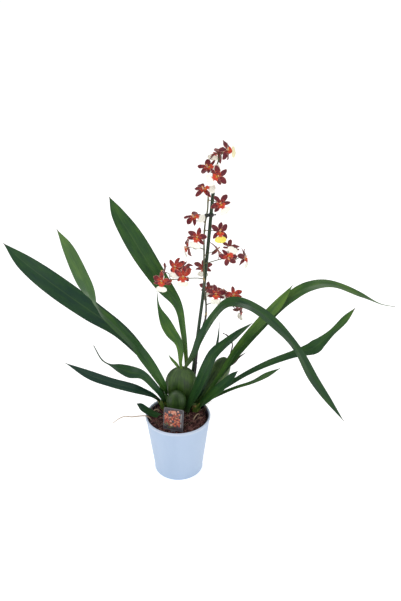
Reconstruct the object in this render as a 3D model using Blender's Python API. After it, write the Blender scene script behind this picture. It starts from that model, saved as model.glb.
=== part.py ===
"""An oncidium orchid in its pot. Metres, +Z up; origin at the middle of the pot's underside, front to -Y."""

import bisect
import math
import random

import bmesh
import bpy
from mathutils import Matrix, Vector, noise

MM = 0.001
CLEAR = 0.35 * MM          # gap kept between pieces that touch

# Pot and its filling
POT_HEIGHT = 125 * MM
POT_RIM_R = 63.5 * MM
POT_MOUTH_R = 60.5 * MM      # inner edge of the rolled rim
POT_BASE_R = 47 * MM
POT_WALL = 2.2 * MM
POT_FLOOR = 3 * MM
POT_SIDES = 32
LINER_TOP = 121.5 * MM
LINER_WALL = 1.1 * MM
LINER_GAP = 0.5 * MM
LINER_FLOOR = 1.2 * MM
BARK_TOP = 115 * MM
BARK_RELIEF = 2.5 * MM
BARK_GRAIN = 9 * MM
BARK_SIDES = 20
CHIP_SPREAD = 48.5 * MM     # chips lie within this radius
CHIP_COUNT = 26
CHIP_SEED = 11

# Leaf blades
BLADE_THICK = 0.8 * MM
SHEATH_THICK = 2.4 * MM
TIP_WIDTH = 1.6 * MM
BLADE_STEP = 22 * MM        # from rib to rib of a blade
FOOT_FOLD, BLADE_FOLD = 50, 8       # degrees that each half is raised from flat

# Flower spike
SPIKE_FOOT_R, SPIKE_TIP_R = 2.1 * MM, 1.1 * MM
BRANCH_R = 0.9 * MM
STALK_R = 0.75 * MM
STICK_R = 3.1 * MM
HUB_Z, HUB_R = 5 * MM, 2.1 * MM      # where petals join: above the foot of the ovary, and its radius
PETAL_LENGTH, SEPAL_LENGTH = 19 * MM, 18 * MM
PETAL_WIDTH, SEPAL_WIDTH, LOW_SEPAL_WIDTH = 9.5 * MM, 8 * MM, 6.5 * MM
CLAW_WIDTH = 2.4 * MM
LIP_LENGTH, LIP_WIDTH = 20 * MM, 22 * MM
BLOOM_THICK = 0.8 * MM
BLOOM_BACK = 6 * MM        # from the foot of the ovary to the heart of the bloom


def P(x, y, z):
    """A point given in millimetres."""
    return Vector((x, y, z)) * MM


# Feet of the two leaf fans
LEFT_CROWN = P(-24, 34.5, 116)
RIGHT_CROWN = P(34.5, 26, 116)
LEFT_CROWN_R, RIGHT_CROWN_R = 10.5 * MM, 9.5 * MM
CROWN_STRETCH = 1.36       # a crown is this much deeper than wide
CROWN_HALF_HEIGHT = 15 * MM

# Each leaf: how long its foot in the fan is, then the route of its middle line from foot to tip in mm,
# each point with the width there and the roll in degrees.
LEAVES = {
    "leaf_left_long": dict(stub=32, route=[(-24, 47, 120, 13, -20), (-51, 53, 201, 20, -25),
        (-103, 61, 272, 30, -38), (-164, 70, 319, 41, -45), (-224, 81, 364, 44, -47),
        (-283, 97, 409, 31, -50), (-321, 108, 445, 0, -50)]),
    "leaf_left_upper": dict(stub=26, route=[(-21, 29, 121, 15, -60), (-32, 18, 187, 18, -55),
        (-71, 27, 253, 23, -38), (-115, 19, 315, 23, -32), (-144, 13, 354, 22, -6),
        (-162, 8, 405, 27, 70), (-183, 1, 473, 20, 85), (-200, -2, 513, 0, 85)]),
    "leaf_left_middle": dict(stub=24, route=[(-25, 21, 121, 12, -75), (-33, 12, 162, 13, -75),
        (-45, 5, 188, 14, -65), (-66, 1, 216, 17, -45), (-91, 3, 222, 26, -30),
        (-111, 3, 231, 20, -20), (-128, 4, 239, 6, 0), (-142, 6, 250, 4, 0), (-155, 11, 277, 2, 0)]),
    "leaf_left_low": dict(stub=22, route=[(-30, 34, 122, 9, -30), (-47, 30, 146, 11, -35),
        (-62, 27, 158, 14, -40), (-86, 21, 173, 18, -45), (-129, 24, 186, 18, -50), (-170, 29, 201, 17, -45),
        (-216, 39, 223, 0, -30)]),
    "leaf_rim_small": dict(stub=0, route=[(-30, 10, 110, 10, -30), (-53, 2, 128, 15, -35),
        (-71, -5, 147, 16, -35), (-79, -9, 158, 0, -30)]),
    "leaf_back_tall": dict(stub=14, route=[(17, 39, 212, 12, -60), (12, 40, 290, 12, -55),
        (3, 44, 341, 17, -45), (-24, 56, 378, 33, -35), (-52, 70, 419, 41, -30),
        (-83, 88, 468, 40, -28), (-104, 101, 501, 27, -25), (-119, 113, 531, 0, -20)]),
    "leaf_back_short": dict(stub=12, route=[(8, 28, 212, 8, -60), (5, 30, 263, 14, -60),
        (-11, 37, 288, 22, -50), (-22, 44, 308, 20, -40), (-33, 54, 335, 5, -30),
        (-36, 68, 366, 0, -20)]),
    "leaf_back_bract": dict(stub=8, route=[(3, 32, 208, 6, 50), (-2, 29, 221, 7, 50),
        (-9, 25, 233, 6, 50), (-16, 20, 248, 0, 50)]),
    "leaf_arch_front": dict(stub=14, route=[(16, 29, 211, 9, 60), (36, 19, 250, 20, 60),
        (47, 13, 289, 22, 57), (70, 0, 342, 21, 40), (96, -13, 374, 22, 36), (133, -34, 374, 27, 4),
        (174, -55, 348, 29, 6), (210, -75, 310, 25, -5), (241, -99, 258, 25, 4),
        (290, -135, 198, 0, 10)]),
    "leaf_arch_back": dict(stub=34, route=[(32, 32, 120, 9, 45), (70, 34, 168, 9, 45),
        (114, 38, 229, 9, 40), (154, 42, 280, 11, 35), (185, 45, 320, 18, 30), (214, 48, 350, 26, 22),
        (250, 53, 370, 27, 14), (294, 60, 371, 25, 12), (353, 69, 344, 15, 20), (396, 76, 320, 4, 10),
        (429, 81, 310, 2, 0)]),
    "leaf_right_bright": dict(stub=30, route=[(38, 22, 121, 8, 40), (79, 22, 192, 9, 42),
        (113, 24, 255, 12, 45), (154, 27, 307, 17, 50), (190, 34, 344, 19, 45), (216, 39, 381, 0, 40)]),
    "leaf_right_wide": dict(stub=30, route=[(31, 27, 120, 10, 20), (88, 32, 160, 11, 20),
        (132, 31, 193, 11, 30), (176, 27, 220, 13, 35), (216, 20, 241, 16, 35), (241, 12, 255, 21, 40),
        (258, 4, 267, 28, 45), (271, 1, 281, 21, 50), (287, -5, 304, 14, 50), (306, -14, 335, 15, 50),
        (321, -21, 363, 0, 50)]),
    "leaf_right_low": dict(stub=26, route=[(37, 29, 120, 9, 10), (79, 35, 143, 8, 15),
        (114, 38, 158, 7, 25), (148, 40, 169, 7, 40), (177, 41, 185, 10, 55), (203, 41, 200, 0, 60)]),
    "leaf_front_broad": dict(stub=0, route=[(18, 13, 110, 18, 20), (32, 11, 154, 26, 28),
        (44, 9, 192, 31, 35), (57, 6, 228, 28, 45), (69, 3, 258, 24, 45), (89, -2, 282, 21, 35),
        (112, -8, 306, 17, 25), (138, -15, 333, 0, 20)]),
    "leaf_thin_upright": dict(stub=24, route=[(34, 34, 120, 6, 60), (60, 41, 182, 6, 75),
        (77, 43, 254, 5, 90), (82, 44, 303, 0, 90)]),
    "leaf_dry_bract": dict(stub=12, route=[(98, 64, 188, 6, 20), (115, 62, 203, 6, 20),
        (124, 60, 216, 5, 20), (138, 57, 229, 0, 20)]),
    "leaf_right_short": dict(stub=22, route=[(35, 18, 120, 13, 30), (59, 10, 154, 19, 40),
        (85, 2, 186, 19, 50), (104, -4, 211, 15, 50), (114, -9, 227, 0, 50)]),
}
LEFT_FAN = ("leaf_left_long", "leaf_left_upper", "leaf_left_middle", "leaf_left_low")
BULB_LEAVES = ("leaf_back_tall", "leaf_back_short", "leaf_back_bract", "leaf_arch_front")
BARK_LEAVES = ("leaf_rim_small", "leaf_front_broad")
REAR_BULB_LEAVES = ("leaf_dry_bract",)
RIGHT_FAN = ("leaf_arch_back", "leaf_right_bright", "leaf_right_wide", "leaf_right_low", "leaf_thin_upright",
             "leaf_right_short")

# Each dry scale round a crown: direction, height and lean in degrees
LEFT_SCALES = ((170, 20, 14), (290, 24, 6), (350, 22, 4))
RIGHT_SCALES = ((200, 20, 6), (265, 22, 10))

# Flower spike: main stem, then four branches
SPIKE = [P(24, 38, 104), P(29, 42, 150), P(35, 43, 191), P(40, 43, 248), P(46, 43, 277), P(51, 42, 299),
         P(55, 42, 314), P(56, 42, 341), P(53, 42, 373), P(52, 42, 414), P(52, 43, 449), P(52, 44, 476),
         P(54, 45, 503), P(58, 45, 527), P(59, 43, 550), P(61, 41, 560), P(66, 38, 572), P(67, 35, 595),
         P(71, 33, 606), P(74, 31, 613)]
BRANCHES = {
    "left_low": [P(52, 42, 395), P(40, 38, 399), P(20, 33, 401), P(-8, 28, 401)],
    "right_low": [P(56, 42, 342), P(68, 36, 349), P(82, 31, 352), P(105, 29, 345)],
    "left_mid": [P(52, 43, 453), P(45, 38, 458), P(37, 34, 458)],
    "right_mid": [P(52, 42, 426), P(60, 37, 430), P(89, 32, 440), P(107, 31, 438)],
}
STICK = [P(20, 48.5, 104), P(43, 49, 295), P(53, 49, 384), P(68, 49, 559)]
CLIP_Z = 517 * MM

# Each bloom: heart in mm, the stem that carries it, the height in mm where its stalk leaves that stem,
# or the share along a branch, the way it faces (heading and tilt up), and its turn about that line
BLOOMS = {
    "bloom_01": ((89, 22, 640), "spike", 611, -40, 25, 60),
    "bloom_02": ((75, 38, 631), "spike", 608, 95, 30, 30),
    "bloom_03": ((57, 25, 610), "spike", 594, 262, 60, 80),
    "bloom_04": ((73, 3, 601), "spike", 598, 258, 5, -60),
    "bloom_05": ((50, 20, 574), "spike", 552, 262, 66, 85),
    "bloom_06": ((79, 18, 548), "spike", 543, 278, 15, 30),
    "bloom_07": ((33, 30, 520), "spike", 503, 262, 64, 75),
    "bloom_08": ((79, 16, 498), "spike", 488, 272, 25, 0),
    "bloom_09": ((39, 18, 487), "spike", 478, 255, 15, -15),
    "bloom_10": ((21, 32, 462), "left_mid", 1.0, 195, 0, -30),
    "bloom_11": ((77, 48, 451), "spike", 438, 20, 20, 0),
    "bloom_12": ((99, 44, 457), "right_mid", 0.75, 60, 20, 0),
    "bloom_13": ((94, 10, 451), "right_mid", 0.85, 280, 5, 150),
    "bloom_14": ((125, 34, 441), "right_mid", 1.0, 335, 10, 0),
    "bloom_15": ((51, 66, 409), "spike", 400, 80, 0, 0),
    "bloom_16": ((14, 44, 420), "left_low", 0.6, 110, 25, 0),
    "bloom_17": ((0, 20, 430), "left_low", 0.8, 245, 20, 0),
    "bloom_18": ((-21, 36, 413), "left_low", 1.0, 170, 10, 0),
    "bloom_19": ((-25, 12, 406), "left_low", 0.95, 250, 10, 0),
    "bloom_20": ((13, 1, 420), "left_low", 0.7, 270, 0, 0),
    "bloom_21": ((60, 62, 366), "spike", 352, 70, 10, 0),
    "bloom_22": ((73, 14, 378), "right_low", 0.35, 260, 10, 0),
    "bloom_23": ((87, 40, 370), "right_low", 0.6, 60, 20, 0),
    "bloom_24": ((104, 16, 375), "right_low", 0.85, 290, 10, 0),
    "bloom_25": ((119, 34, 335), "right_low", 1.0, 20, 0, 0),
}

# Plant label
CARD_W, CARD_H, CARD_THICK = 39.5 * MM, 45 * MM, 0.8 * MM
CARD_FOOT = P(-10, -46, 121.2)
CARD_LEAN, CARD_YAW = 10, -19      # degrees back, and turned about the upright
STAKE_W, STAKE_DEPTH = 9 * MM, 20 * MM

ROOTS = {
    "root_over_rim": [P(-50, -7, 110), P(-54, -8, 122), P(-60, -9, 128), P(-66, -10, 130), P(-76, -12, 131),
                      P(-89, -14, 131), P(-102, -16, 134), P(-114, -18, 130), P(-126, -20, 121)],
    "root_on_bark_left": [P(-34, 21, 111), P(-39, 20, 122), P(-47, 17, 123), P(-52, 14, 111)],
    "root_on_bark_right": [P(27, -12, 111), P(33, -6, 122), P(40, 2, 123), P(45, 7, 111)],
}
ROOT_R = 1.1 * MM


def clear_scene():
    for thing in list(bpy.data.objects):
        bpy.data.objects.remove(thing)


def material(name, colour, roughness, metallic=0.0):
    """A plain Principled material; the colour is linear."""
    made = bpy.data.materials.new(name)
    made.use_nodes = True
    shader = made.node_tree.nodes["Principled BSDF"]
    shader.inputs["Base Color"].default_value = (*colour, 1)
    shader.inputs["Roughness"].default_value = roughness
    shader.inputs["Metallic"].default_value = metallic
    return made


def mesh_object(name, points, faces, look=None):
    """A closed mesh with its faces turned outwards."""
    mesh = bpy.data.meshes.new(name)
    mesh.from_pydata([tuple(point) for point in points], [], faces)
    work = bmesh.new()
    work.from_mesh(mesh)
    bmesh.ops.recalc_face_normals(work, faces=work.faces)
    work.to_mesh(mesh)
    work.free()
    if look:
        mesh.materials.append(look)
    made = bpy.data.objects.new(name, mesh)
    bpy.context.scene.collection.objects.link(made)
    return made


def split_quad(a, b, c, d, other):
    """Two triangles of a quad, split from its first corner or along the other diagonal."""
    return [(a, b, d), (b, c, d)] if other else [(a, b, c), (a, c, d)]


def bridge(rings, sheet=False):
    """Points and faces of rings joined one to the next, with both ends capped.

    In a sheet the second half of each ring is its underside. Its quads are split along the other diagonal,
    so that both sides of a twisted blade bend alike."""
    count = len(rings[0])
    points = [point for ring in rings for point in ring]
    faces = []
    for row in range(len(rings) - 1):
        for k in range(count):
            a, b = row * count + k, row * count + (k + 1) % count
            faces += split_quad(a, b, b + count, a + count, sheet and k >= count // 2)
    faces.append(tuple(range(count - 1, -1, -1)))
    faces.append(tuple(range((len(rings) - 1) * count, len(rings) * count)))
    return points, faces


def evaluated_copy(thing, name, look):
    """The object as its modifiers leave it, as a new plain mesh object."""
    graph = bpy.context.evaluated_depsgraph_get()
    mesh = bpy.data.meshes.new_from_object(thing.evaluated_get(graph))
    mesh.materials.clear()
    mesh.materials.append(look)
    made = bpy.data.objects.new(name, mesh)
    made.matrix_world = thing.matrix_world
    bpy.context.scene.collection.objects.link(made)
    return made


def combined(name, first, others, operation, look, solver="EXACT"):
    """One Boolean of an object with a collection of others, applied; the pieces are then removed."""
    group = bpy.data.collections.new(name + "_pieces")
    bpy.context.scene.collection.children.link(group)
    for piece in others:
        group.objects.link(piece)
    boolean = first.modifiers.new("join", "BOOLEAN")
    boolean.operand_type = "COLLECTION"
    boolean.collection = group
    boolean.operation = operation
    boolean.solver = solver
    made = evaluated_copy(first, "joined", look)
    for piece in [first, *others]:
        bpy.data.objects.remove(piece)
    bpy.data.collections.remove(group)
    made.name = made.data.name = name
    return made


def keep_largest(thing):
    """Drops the loose scraps that a cut leaves."""
    work = bmesh.new()
    work.from_mesh(thing.data)
    left = set(work.verts)
    bodies = []
    while left:
        reached = [left.pop()]
        for vertex in reached:
            for edge in vertex.link_edges:
                other = edge.other_vert(vertex)
                if other in left:
                    left.remove(other)
                    reached.append(other)
        bodies.append(reached)
    bodies.sort(key=len)
    bmesh.ops.delete(work, geom=[vertex for body in bodies[:-1] for vertex in body], context="VERTS")
    work.to_mesh(thing.data)
    work.free()


def smoothstep(x):
    x = min(max(x, 0.0), 1.0)
    return x * x * (3 - 2 * x)


def spline(points, count):
    """Points evenly spread by parameter on a smooth curve through the given ones."""
    padded = [2 * points[0] - points[1], *points, 2 * points[-1] - points[-2]]
    made = []
    for k in range(count):
        along = k / (count - 1) * (len(points) - 1)
        i = min(int(along), len(points) - 2)
        t = along - i
        a, b, c, d = padded[i:i + 4]
        made.append(0.5 * (2 * b + (c - a) * t + (2 * a - 5 * b + 4 * c - d) * t ** 2
                           + (3 * b - a - 3 * c + d) * t ** 3))
    return made


def tube(name, points, radii, sides, look=None):
    """A round tube along a path, its rings turned as little as possible from one to the next."""
    tangents = []
    for k in range(len(points)):
        ahead, behind = points[min(k + 1, len(points) - 1)], points[max(k - 1, 0)]
        tangents.append((ahead - behind).normalized())
    side = tangents[0].orthogonal().normalized()
    rings = []
    for point, tangent, radius in zip(points, tangents, radii):
        side = (side - tangent * side.dot(tangent)).normalized()
        other = tangent.cross(side)
        turns = [2 * math.pi * k / sides for k in range(sides)]
        rings.append([point + radius * (math.cos(a) * side + math.sin(a) * other) for a in turns])
    return mesh_object(name, *bridge(rings), look)


def lathe(name, profile, sides, look=None):
    """A body turned about Z from a closed outline whose first and last points lie on the axis."""
    rings = []
    for radius, height in profile[1:-1]:
        turns = [2 * math.pi * k / sides for k in range(sides)]
        rings.append([Vector((radius * math.cos(a), radius * math.sin(a), height)) for a in turns])
    return mesh_object(name, *bridge(rings), look)


def inner_radius(height):
    """Radius inside the outer pot's wall."""
    share = (height - POT_FLOOR) / (POT_HEIGHT - POT_FLOOR)
    return POT_BASE_R - POT_WALL + share * (POT_MOUTH_R - POT_BASE_R + POT_WALL)


def outer_pot(look):
    """A tapered pot with a rounded foot and a small rolled rim."""
    below_rim = inner_radius(117 * MM) + POT_WALL
    profile = [
        (0, 0), (42 * MM, 0), (45 * MM, 0.6 * MM), (POT_BASE_R - 0.4 * MM, 2.4 * MM),
        (POT_BASE_R + 0.6 * MM, 7 * MM), (below_rim, 117 * MM), (below_rim + 0.8 * MM, 119.5 * MM),
        (POT_RIM_R, 122 * MM), (POT_RIM_R - 0.4 * MM, 124.2 * MM), (POT_RIM_R - 1.5 * MM, POT_HEIGHT),
        (POT_MOUTH_R + 0.4 * MM, 124.4 * MM), (POT_MOUTH_R - 0.2 * MM, 122.5 * MM),
        (inner_radius(115 * MM), 115 * MM), (inner_radius(8 * MM), 8 * MM),
        (inner_radius(8 * MM) - 3 * MM, POT_FLOOR), (0, POT_FLOOR),
    ]
    return lathe("outer_pot", profile, POT_SIDES, look)


def growing_pot(look):
    """The thin dark pot that stands inside, its lip just under the rim."""
    floor = POT_FLOOR + CLEAR

    def outside(height):
        return inner_radius(height) - LINER_GAP

    profile = [
        (0, floor), (outside(9 * MM) - 3.5 * MM, floor), (outside(9 * MM), 9 * MM),
        (outside(LINER_TOP), LINER_TOP), (outside(LINER_TOP) - 2 * MM, LINER_TOP),
        (outside(118 * MM) - LINER_WALL, 118 * MM), (outside(10 * MM) - LINER_WALL, 10 * MM),
        (outside(9 * MM) - 4.5 * MM, floor + LINER_FLOOR), (0, floor + LINER_FLOOR),
    ]
    return lathe("growing_pot", profile, POT_SIDES, look)


def bark_edge(height):
    return inner_radius(height) - LINER_GAP - LINER_WALL - CLEAR


def bark_plug():
    """The filling, its top raised and sunk by noise."""
    floor = POT_FLOOR + 2 * CLEAR + LINER_FLOOR
    angles = [2 * math.pi * k / BARK_SIDES for k in range(BARK_SIDES)]
    rings = []
    for radius, height in ((bark_edge(9 * MM) - 3.6 * MM, floor), (bark_edge(10 * MM), 10.5 * MM),
                           (bark_edge(112 * MM), 112 * MM)):
        rings.append([Vector((radius * math.cos(a), radius * math.sin(a), height)) for a in angles])
    for share in (0.985, 0.82, 0.6, 0.38, 0.14):
        radius = bark_edge(BARK_TOP) * share
        drop = 2 * MM if share > 0.9 else 0
        ring = []
        for a in angles:
            x, y = radius * math.cos(a), radius * math.sin(a)
            rough = noise.noise(Vector((x, y, 0)) / BARK_GRAIN)
            ring.append(Vector((x, y, BARK_TOP + BARK_RELIEF * rough - drop)))
        rings.append(ring)
    return mesh_object("plug", *bridge(rings))


def bark_chip(x, y, length, width, thick, turn, tips):
    """One flat chip with its corners cut unevenly, tilted and half sunk."""
    half = [Vector((length / 2, 0, 0)), Vector((length / 5, width / 2, 0)),
            Vector((-length / 2, width / 2.6, 0)), Vector((-length / 2.3, -width / 2.4, 0)),
            Vector((length / 3, -width / 2, 0))]
    place = (Matrix.Translation((x, y, BARK_TOP + 0.8 * MM)) @ Matrix.Rotation(turn, 4, "Z")
             @ Matrix.Rotation(tips[0], 4, "X") @ Matrix.Rotation(tips[1], 4, "Y"))
    lower = [place @ (corner - Vector((0, 0, thick / 2))) for corner in half]
    upper = [place @ (corner * 0.86 + Vector((0, 0, thick / 2))) for corner in half]
    return mesh_object("chip", *bridge([lower, upper]))


def bark_chips():
    draw = random.Random(CHIP_SEED)
    chips = []
    for k in range(CHIP_COUNT):
        # sunflower spacing covers the disc evenly
        radius = CHIP_SPREAD * math.sqrt((k + 0.5) / CHIP_COUNT)
        angle = k * math.radians(137.5)
        length, width = draw.uniform(12, 17) * MM, draw.uniform(7, 10) * MM
        thick, turn = draw.uniform(2.5, 4) * MM, draw.uniform(0, 2 * math.pi)
        tips = draw.uniform(-0.35, 0.35), draw.uniform(-0.4, 0.4)
        chips.append(bark_chip(radius * math.cos(angle), radius * math.sin(angle), length, width, thick,
                               turn, tips))
    return chips


def hole(x, y, radius, depth, stretch=1.0):
    """A plain round cutter that opens upwards; its flats clear the given radius."""
    sides = 12
    radius /= math.cos(math.pi / sides)
    rings = []
    for height in (depth, 135 * MM):
        turns = [2 * math.pi * k / sides for k in range(sides)]
        rings.append([Vector((x + radius * math.cos(a), y + stretch * radius * math.sin(a), height))
                      for a in turns])
    return mesh_object("hole", *bridge(rings))


def bark_mix(look):
    """The bark: a plug with chips fused on it, and plain holes for all that stands in it."""
    rough = combined("rough_bark", bark_plug(), bark_chips(), "UNION", look)
    cutters = [
        hole(LEFT_CROWN.x, LEFT_CROWN.y, LEFT_CROWN_R + 2 * CLEAR, 100.5 * MM, CROWN_STRETCH),
        hole(RIGHT_CROWN.x, RIGHT_CROWN.y, RIGHT_CROWN_R + 2 * CLEAR, 100.5 * MM, CROWN_STRETCH),
    ]
    for bulb in BULBS.values():
        foot = P(*bulb["foot"])
        neck_w = bulb["neck"] * bulb["width"] * MM / 2 + 2 * CLEAR
        neck_d = bulb["neck"] * bulb["depth"] * MM / 2 + 2 * CLEAR
        cutters.append(hole(foot.x, foot.y, neck_w, foot.z - 3 * CLEAR, neck_d / neck_w))
    for name in BARK_LEAVES:
        cutters.append(leaf_strip("slot", leaf_run(LEAVES[name]), -1 * MM, 24 * MM, BLADE_THICK + 6 * CLEAR,
                                  4 * CLEAR, 4))
    for path, share, radius in ((SPIKE, 0.5, SPIKE_FOOT_R + 2 * CLEAR), (STICK, 0.15, STICK_R + CLEAR)):
        ends = [path[0] - P(0.1, 0, 1), path[0].lerp(path[1], share)]
        cutters.append(tube("slot", ends, [radius] * 2, 10))
    for path in ROOTS.values():
        for end, inner in ((path[0], path[1]), (path[-1], path[-2])):
            if end.z < BARK_TOP:
                along = (inner - end).normalized()
                ends = [end - along * MM, inner + along * 2 * MM]
                cutters.append(tube("slot", ends, [ROOT_R + 2 * CLEAR] * 2, 6))
    cutters.append(label_body("slot", CLEAR))
    cut = combined("bark_mix", rough, cutters, "DIFFERENCE", look)
    keep_largest(cut)
    return cut


# Pseudobulbs: foot and tip in mm, width, depth, rib count and the share of the width at the buried neck
BULBS = {
    "pseudobulb_main": dict(foot=(4, 32.5, 103), tip=(9, 32.5, 213), width=62, depth=24, ribs=8, neck=0.34),
    "pseudobulb_front": dict(foot=(-2, 9, 103), tip=(-3, 8, 174), width=39, depth=22, ribs=6, neck=0.36),
    "pseudobulb_rear": dict(foot=(32.2, 41.4, 103), tip=(92, 62, 214), width=42, depth=26, ribs=7, neck=0.2),
}


def bulb_swell(share, neck):
    """Half width of a pseudobulb along its length, as a share of the widest."""
    neck_end, widest = 0.2, 0.62
    if share <= neck_end:
        return neck
    if share <= widest:
        return neck + (1 - neck) * math.sin(math.pi / 2 * (share - neck_end) / (widest - neck_end))
    return math.sqrt(1 - (0.985 * (share - widest) / (1 - widest)) ** 2.4)


def bulb_axis(bulb, share):
    """Straight from foot to tip, except that a leaning bulb first rises out of the pot."""
    foot, tip = P(*bulb["foot"]), P(*bulb["tip"])
    lean = math.sin(math.pi / 2 * max(share - 0.2, 0) / 0.8) if (tip - foot).xy.length > 20 * MM else share
    return Vector((foot.x + (tip.x - foot.x) * lean, foot.y + (tip.y - foot.y) * lean,
                   foot.z + (tip.z - foot.z) * share))


def pseudobulb(name, look):
    bulb = BULBS[name]
    sides = 2 * bulb["ribs"]
    rings = []
    for share in (0, 0.12, 0.2, 0.29, 0.4, 0.5, 0.62, 0.78, 0.92, 1):
        centre = bulb_axis(bulb, share)
        up = (bulb_axis(bulb, share + 0.02) - bulb_axis(bulb, share - 0.02)).normalized()
        across = Vector((0, 1, 0)).cross(up).normalized()
        deep = up.cross(across)
        swell = bulb_swell(share, bulb["neck"]) * MM / 2
        ring = []
        for k in range(sides):
            angle = 2 * math.pi * k / sides
            rib = 1 - (0.05 * smoothstep((share - 0.2) / 0.2) if k % 2 else 0)
            ring.append(centre + swell * rib * (bulb["width"] * math.cos(angle) * across
                                                + bulb["depth"] * math.sin(angle) * deep))
        rings.append(ring)
    return mesh_object(name, *bridge(rings), look)


def leaf_run(leaf):
    """A leaf's route as closely spaced rows, and how far each row is from the foot."""
    rows = spline([Vector(row) for row in leaf["route"]], 30 * len(leaf["route"]))
    reaches = [0.0]
    for before, after in zip(rows, rows[1:]):
        reaches.append(reaches[-1] + math.dist(before[:3], after[:3]) * MM)
    return rows, reaches


def route_row(run, reach):
    rows, reaches = run
    k = max(min(bisect.bisect(reaches, reach), len(rows) - 1), 1)
    t = min(max((reach - reaches[k - 1]) / (reaches[k] - reaches[k - 1]), 0), 1)
    return rows[k - 1].lerp(rows[k], t)


def leaf_frame(run, reach):
    """Midrib point, side, face and half width of a leaf at a distance from its foot; also before the foot."""
    row = route_row(run, reach)
    ahead, behind = route_row(run, max(reach, 0) + 2 * MM), route_row(run, max(reach, 0) - 2 * MM)
    along = (P(*ahead[:3]) - P(*behind[:3])).normalized()
    side = Vector((-along.y, along.x, 0)).normalized()
    point = P(*row[:3]) + along * min(reach, 0)
    face = along.cross(side)
    roll = math.radians(row[4])
    turned = side * math.cos(roll) + face * math.sin(roll)
    return point, turned, along.cross(turned), max(row[3] * MM, TIP_WIDTH) / 2


def leaf_fold(share):
    return math.radians(BLADE_FOLD + (FOOT_FOLD - BLADE_FOLD) * (1 - smoothstep(share / 0.3)))


def leaf_strip(name, run, start, end, thick, extra, steps, look=None):
    """A stretch of the folded blade as a closed strip; extra widens each half."""
    rings = []
    for k in range(steps + 1):
        reach = start + (end - start) * k / steps
        point, side, face, half = leaf_frame(run, reach)
        half, fold = half + extra, leaf_fold(max(reach / run[1][-1], 0))
        left = side * math.cos(fold) + face * math.sin(fold)
        right = -side * math.cos(fold) + face * math.sin(fold)
        left_face = face * math.cos(fold) - side * math.sin(fold)
        right_face = face * math.cos(fold) + side * math.sin(fold)
        up = thick / 2
        rings.append([
            point + left * half + left_face * up, point + face * up / math.cos(fold),
            point + right * half + right_face * up, point + right * half - right_face * up,
            point - face * up / math.cos(fold), point + left * half - left_face * up,
        ])
    return mesh_object(name, *bridge(rings, sheet=True), look)


def leaf_blade(name, look):
    leaf = LEAVES[name]
    run = leaf_run(leaf)
    start, end = leaf["stub"] * MM + (CLEAR if leaf["stub"] else 0), run[1][-1]
    steps = max(6, round((end - start) / BLADE_STEP))
    return leaf_strip(name, run, start, end, BLADE_THICK, 0, steps, look)


def dry_scale(centre, radius, heading, height, lean):
    """One pointed papery scale hugging the crown."""
    heading = math.radians(heading)
    out = Vector((math.cos(heading), math.sin(heading), 0))
    side = Vector((-math.sin(heading), math.cos(heading), 0))
    rings = []
    for share in (0, 0.6, 1):
        spread = radius * 0.86 + math.tan(math.radians(lean)) * height * MM * share ** 1.5
        base = centre + Vector((out.x * spread, CROWN_STRETCH * out.y * spread, height * MM * share - 2 * MM))
        half = 8 * MM * math.sqrt(1 - 0.97 * share ** 1.6)
        outer, inner = out * half * 0.4, out * (half * 0.4 + 1.2 * MM)
        rings.append([base + side * half - outer, base + out * 0.6 * MM, base - side * half - outer,
                      base - side * half - inner, base - out * 0.9 * MM, base + side * half - inner])
    return mesh_object("scale", *bridge(rings, sheet=True))


def leaf_stub(name, start, extra):
    """The folded base of a leaf, thicker than its blade."""
    leaf = LEAVES[name]
    thick = min(SHEATH_THICK, 0.2 * leaf["route"][0][3] * MM)
    return leaf_strip("stub", leaf_run(leaf), start, leaf["stub"] * MM, thick, extra, 2)


def leaf_sheaths(name, centre, radius, fan, scales, look):
    """The foot of a fan: a short crown, the folded leaf bases and a few dry scales, grown together."""
    rings = []
    for k in range(5):
        level = math.pi * (k + 0.5) / 5 - math.pi / 2
        wide, up = radius * math.cos(level), CROWN_HALF_HEIGHT * math.sin(level)
        turns = [2 * math.pi * j / 10 for j in range(10)]
        rings.append([centre + Vector((wide * math.cos(a), CROWN_STRETCH * wide * math.sin(a), up))
                      for a in turns])
    crown = mesh_object("crown", *bridge(rings))
    pieces = [leaf_stub(leaf, -3 * MM, 0.5 * MM) for leaf in fan]
    pieces += [dry_scale(centre, radius, *scale) for scale in scales]
    made = combined(name, crown, pieces, "UNION", look)
    keep_largest(made)
    return made


def bulb_with_stubs(name, leaves, look):
    """A pseudobulb with the short leaf bases grown on it."""
    bulb = pseudobulb(name, look)
    stubs = [leaf_stub(leaf, -6 * MM, 0.4 * MM) for leaf in leaves]
    return combined(name, bulb, stubs, "UNION", look)


def bloom_frame(heart, heading, tilt, turn):
    """Matrix of a bloom: +Z is the way it faces, +Y the upper sepal; origin at the foot of its ovary."""
    heading, tilt = math.radians(heading), math.radians(tilt)
    facing = Vector((math.cos(heading) * math.cos(tilt), math.sin(heading) * math.cos(tilt), math.sin(tilt)))
    upper = (Vector((0, 0, 1)) - facing * facing.z).normalized()
    right = upper.cross(facing)
    turned = Matrix.Rotation(math.radians(turn), 3, facing)
    basis = Matrix((turned @ right, turned @ upper, facing)).transposed().to_4x4()
    return Matrix.Translation(P(*heart) - facing * BLOOM_BACK) @ basis


def tepal_rings(angle, length, width, reflex, sweep):
    """Cross-sections of one tepal beyond the hub: a narrow claw, widest past its middle, then bent back."""
    rings = []
    for share, wide in ((0.2, CLAW_WIDTH / width), (0.58, 1), (1, 0.22)):
        turn = math.radians(angle + sweep * share)
        out = Vector((math.cos(turn), math.sin(turn), 0))
        side = Vector((-math.sin(turn), math.cos(turn), 0))
        point = out * length * share + Vector((0, 0, HUB_Z - reflex * share ** 2))
        half, up = side * width * wide / 2, Vector((0, 0, BLOOM_THICK / 2))
        rings.append([point + half + up, point - half + up, point - half - up, point + half - up])
    return rings


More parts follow.
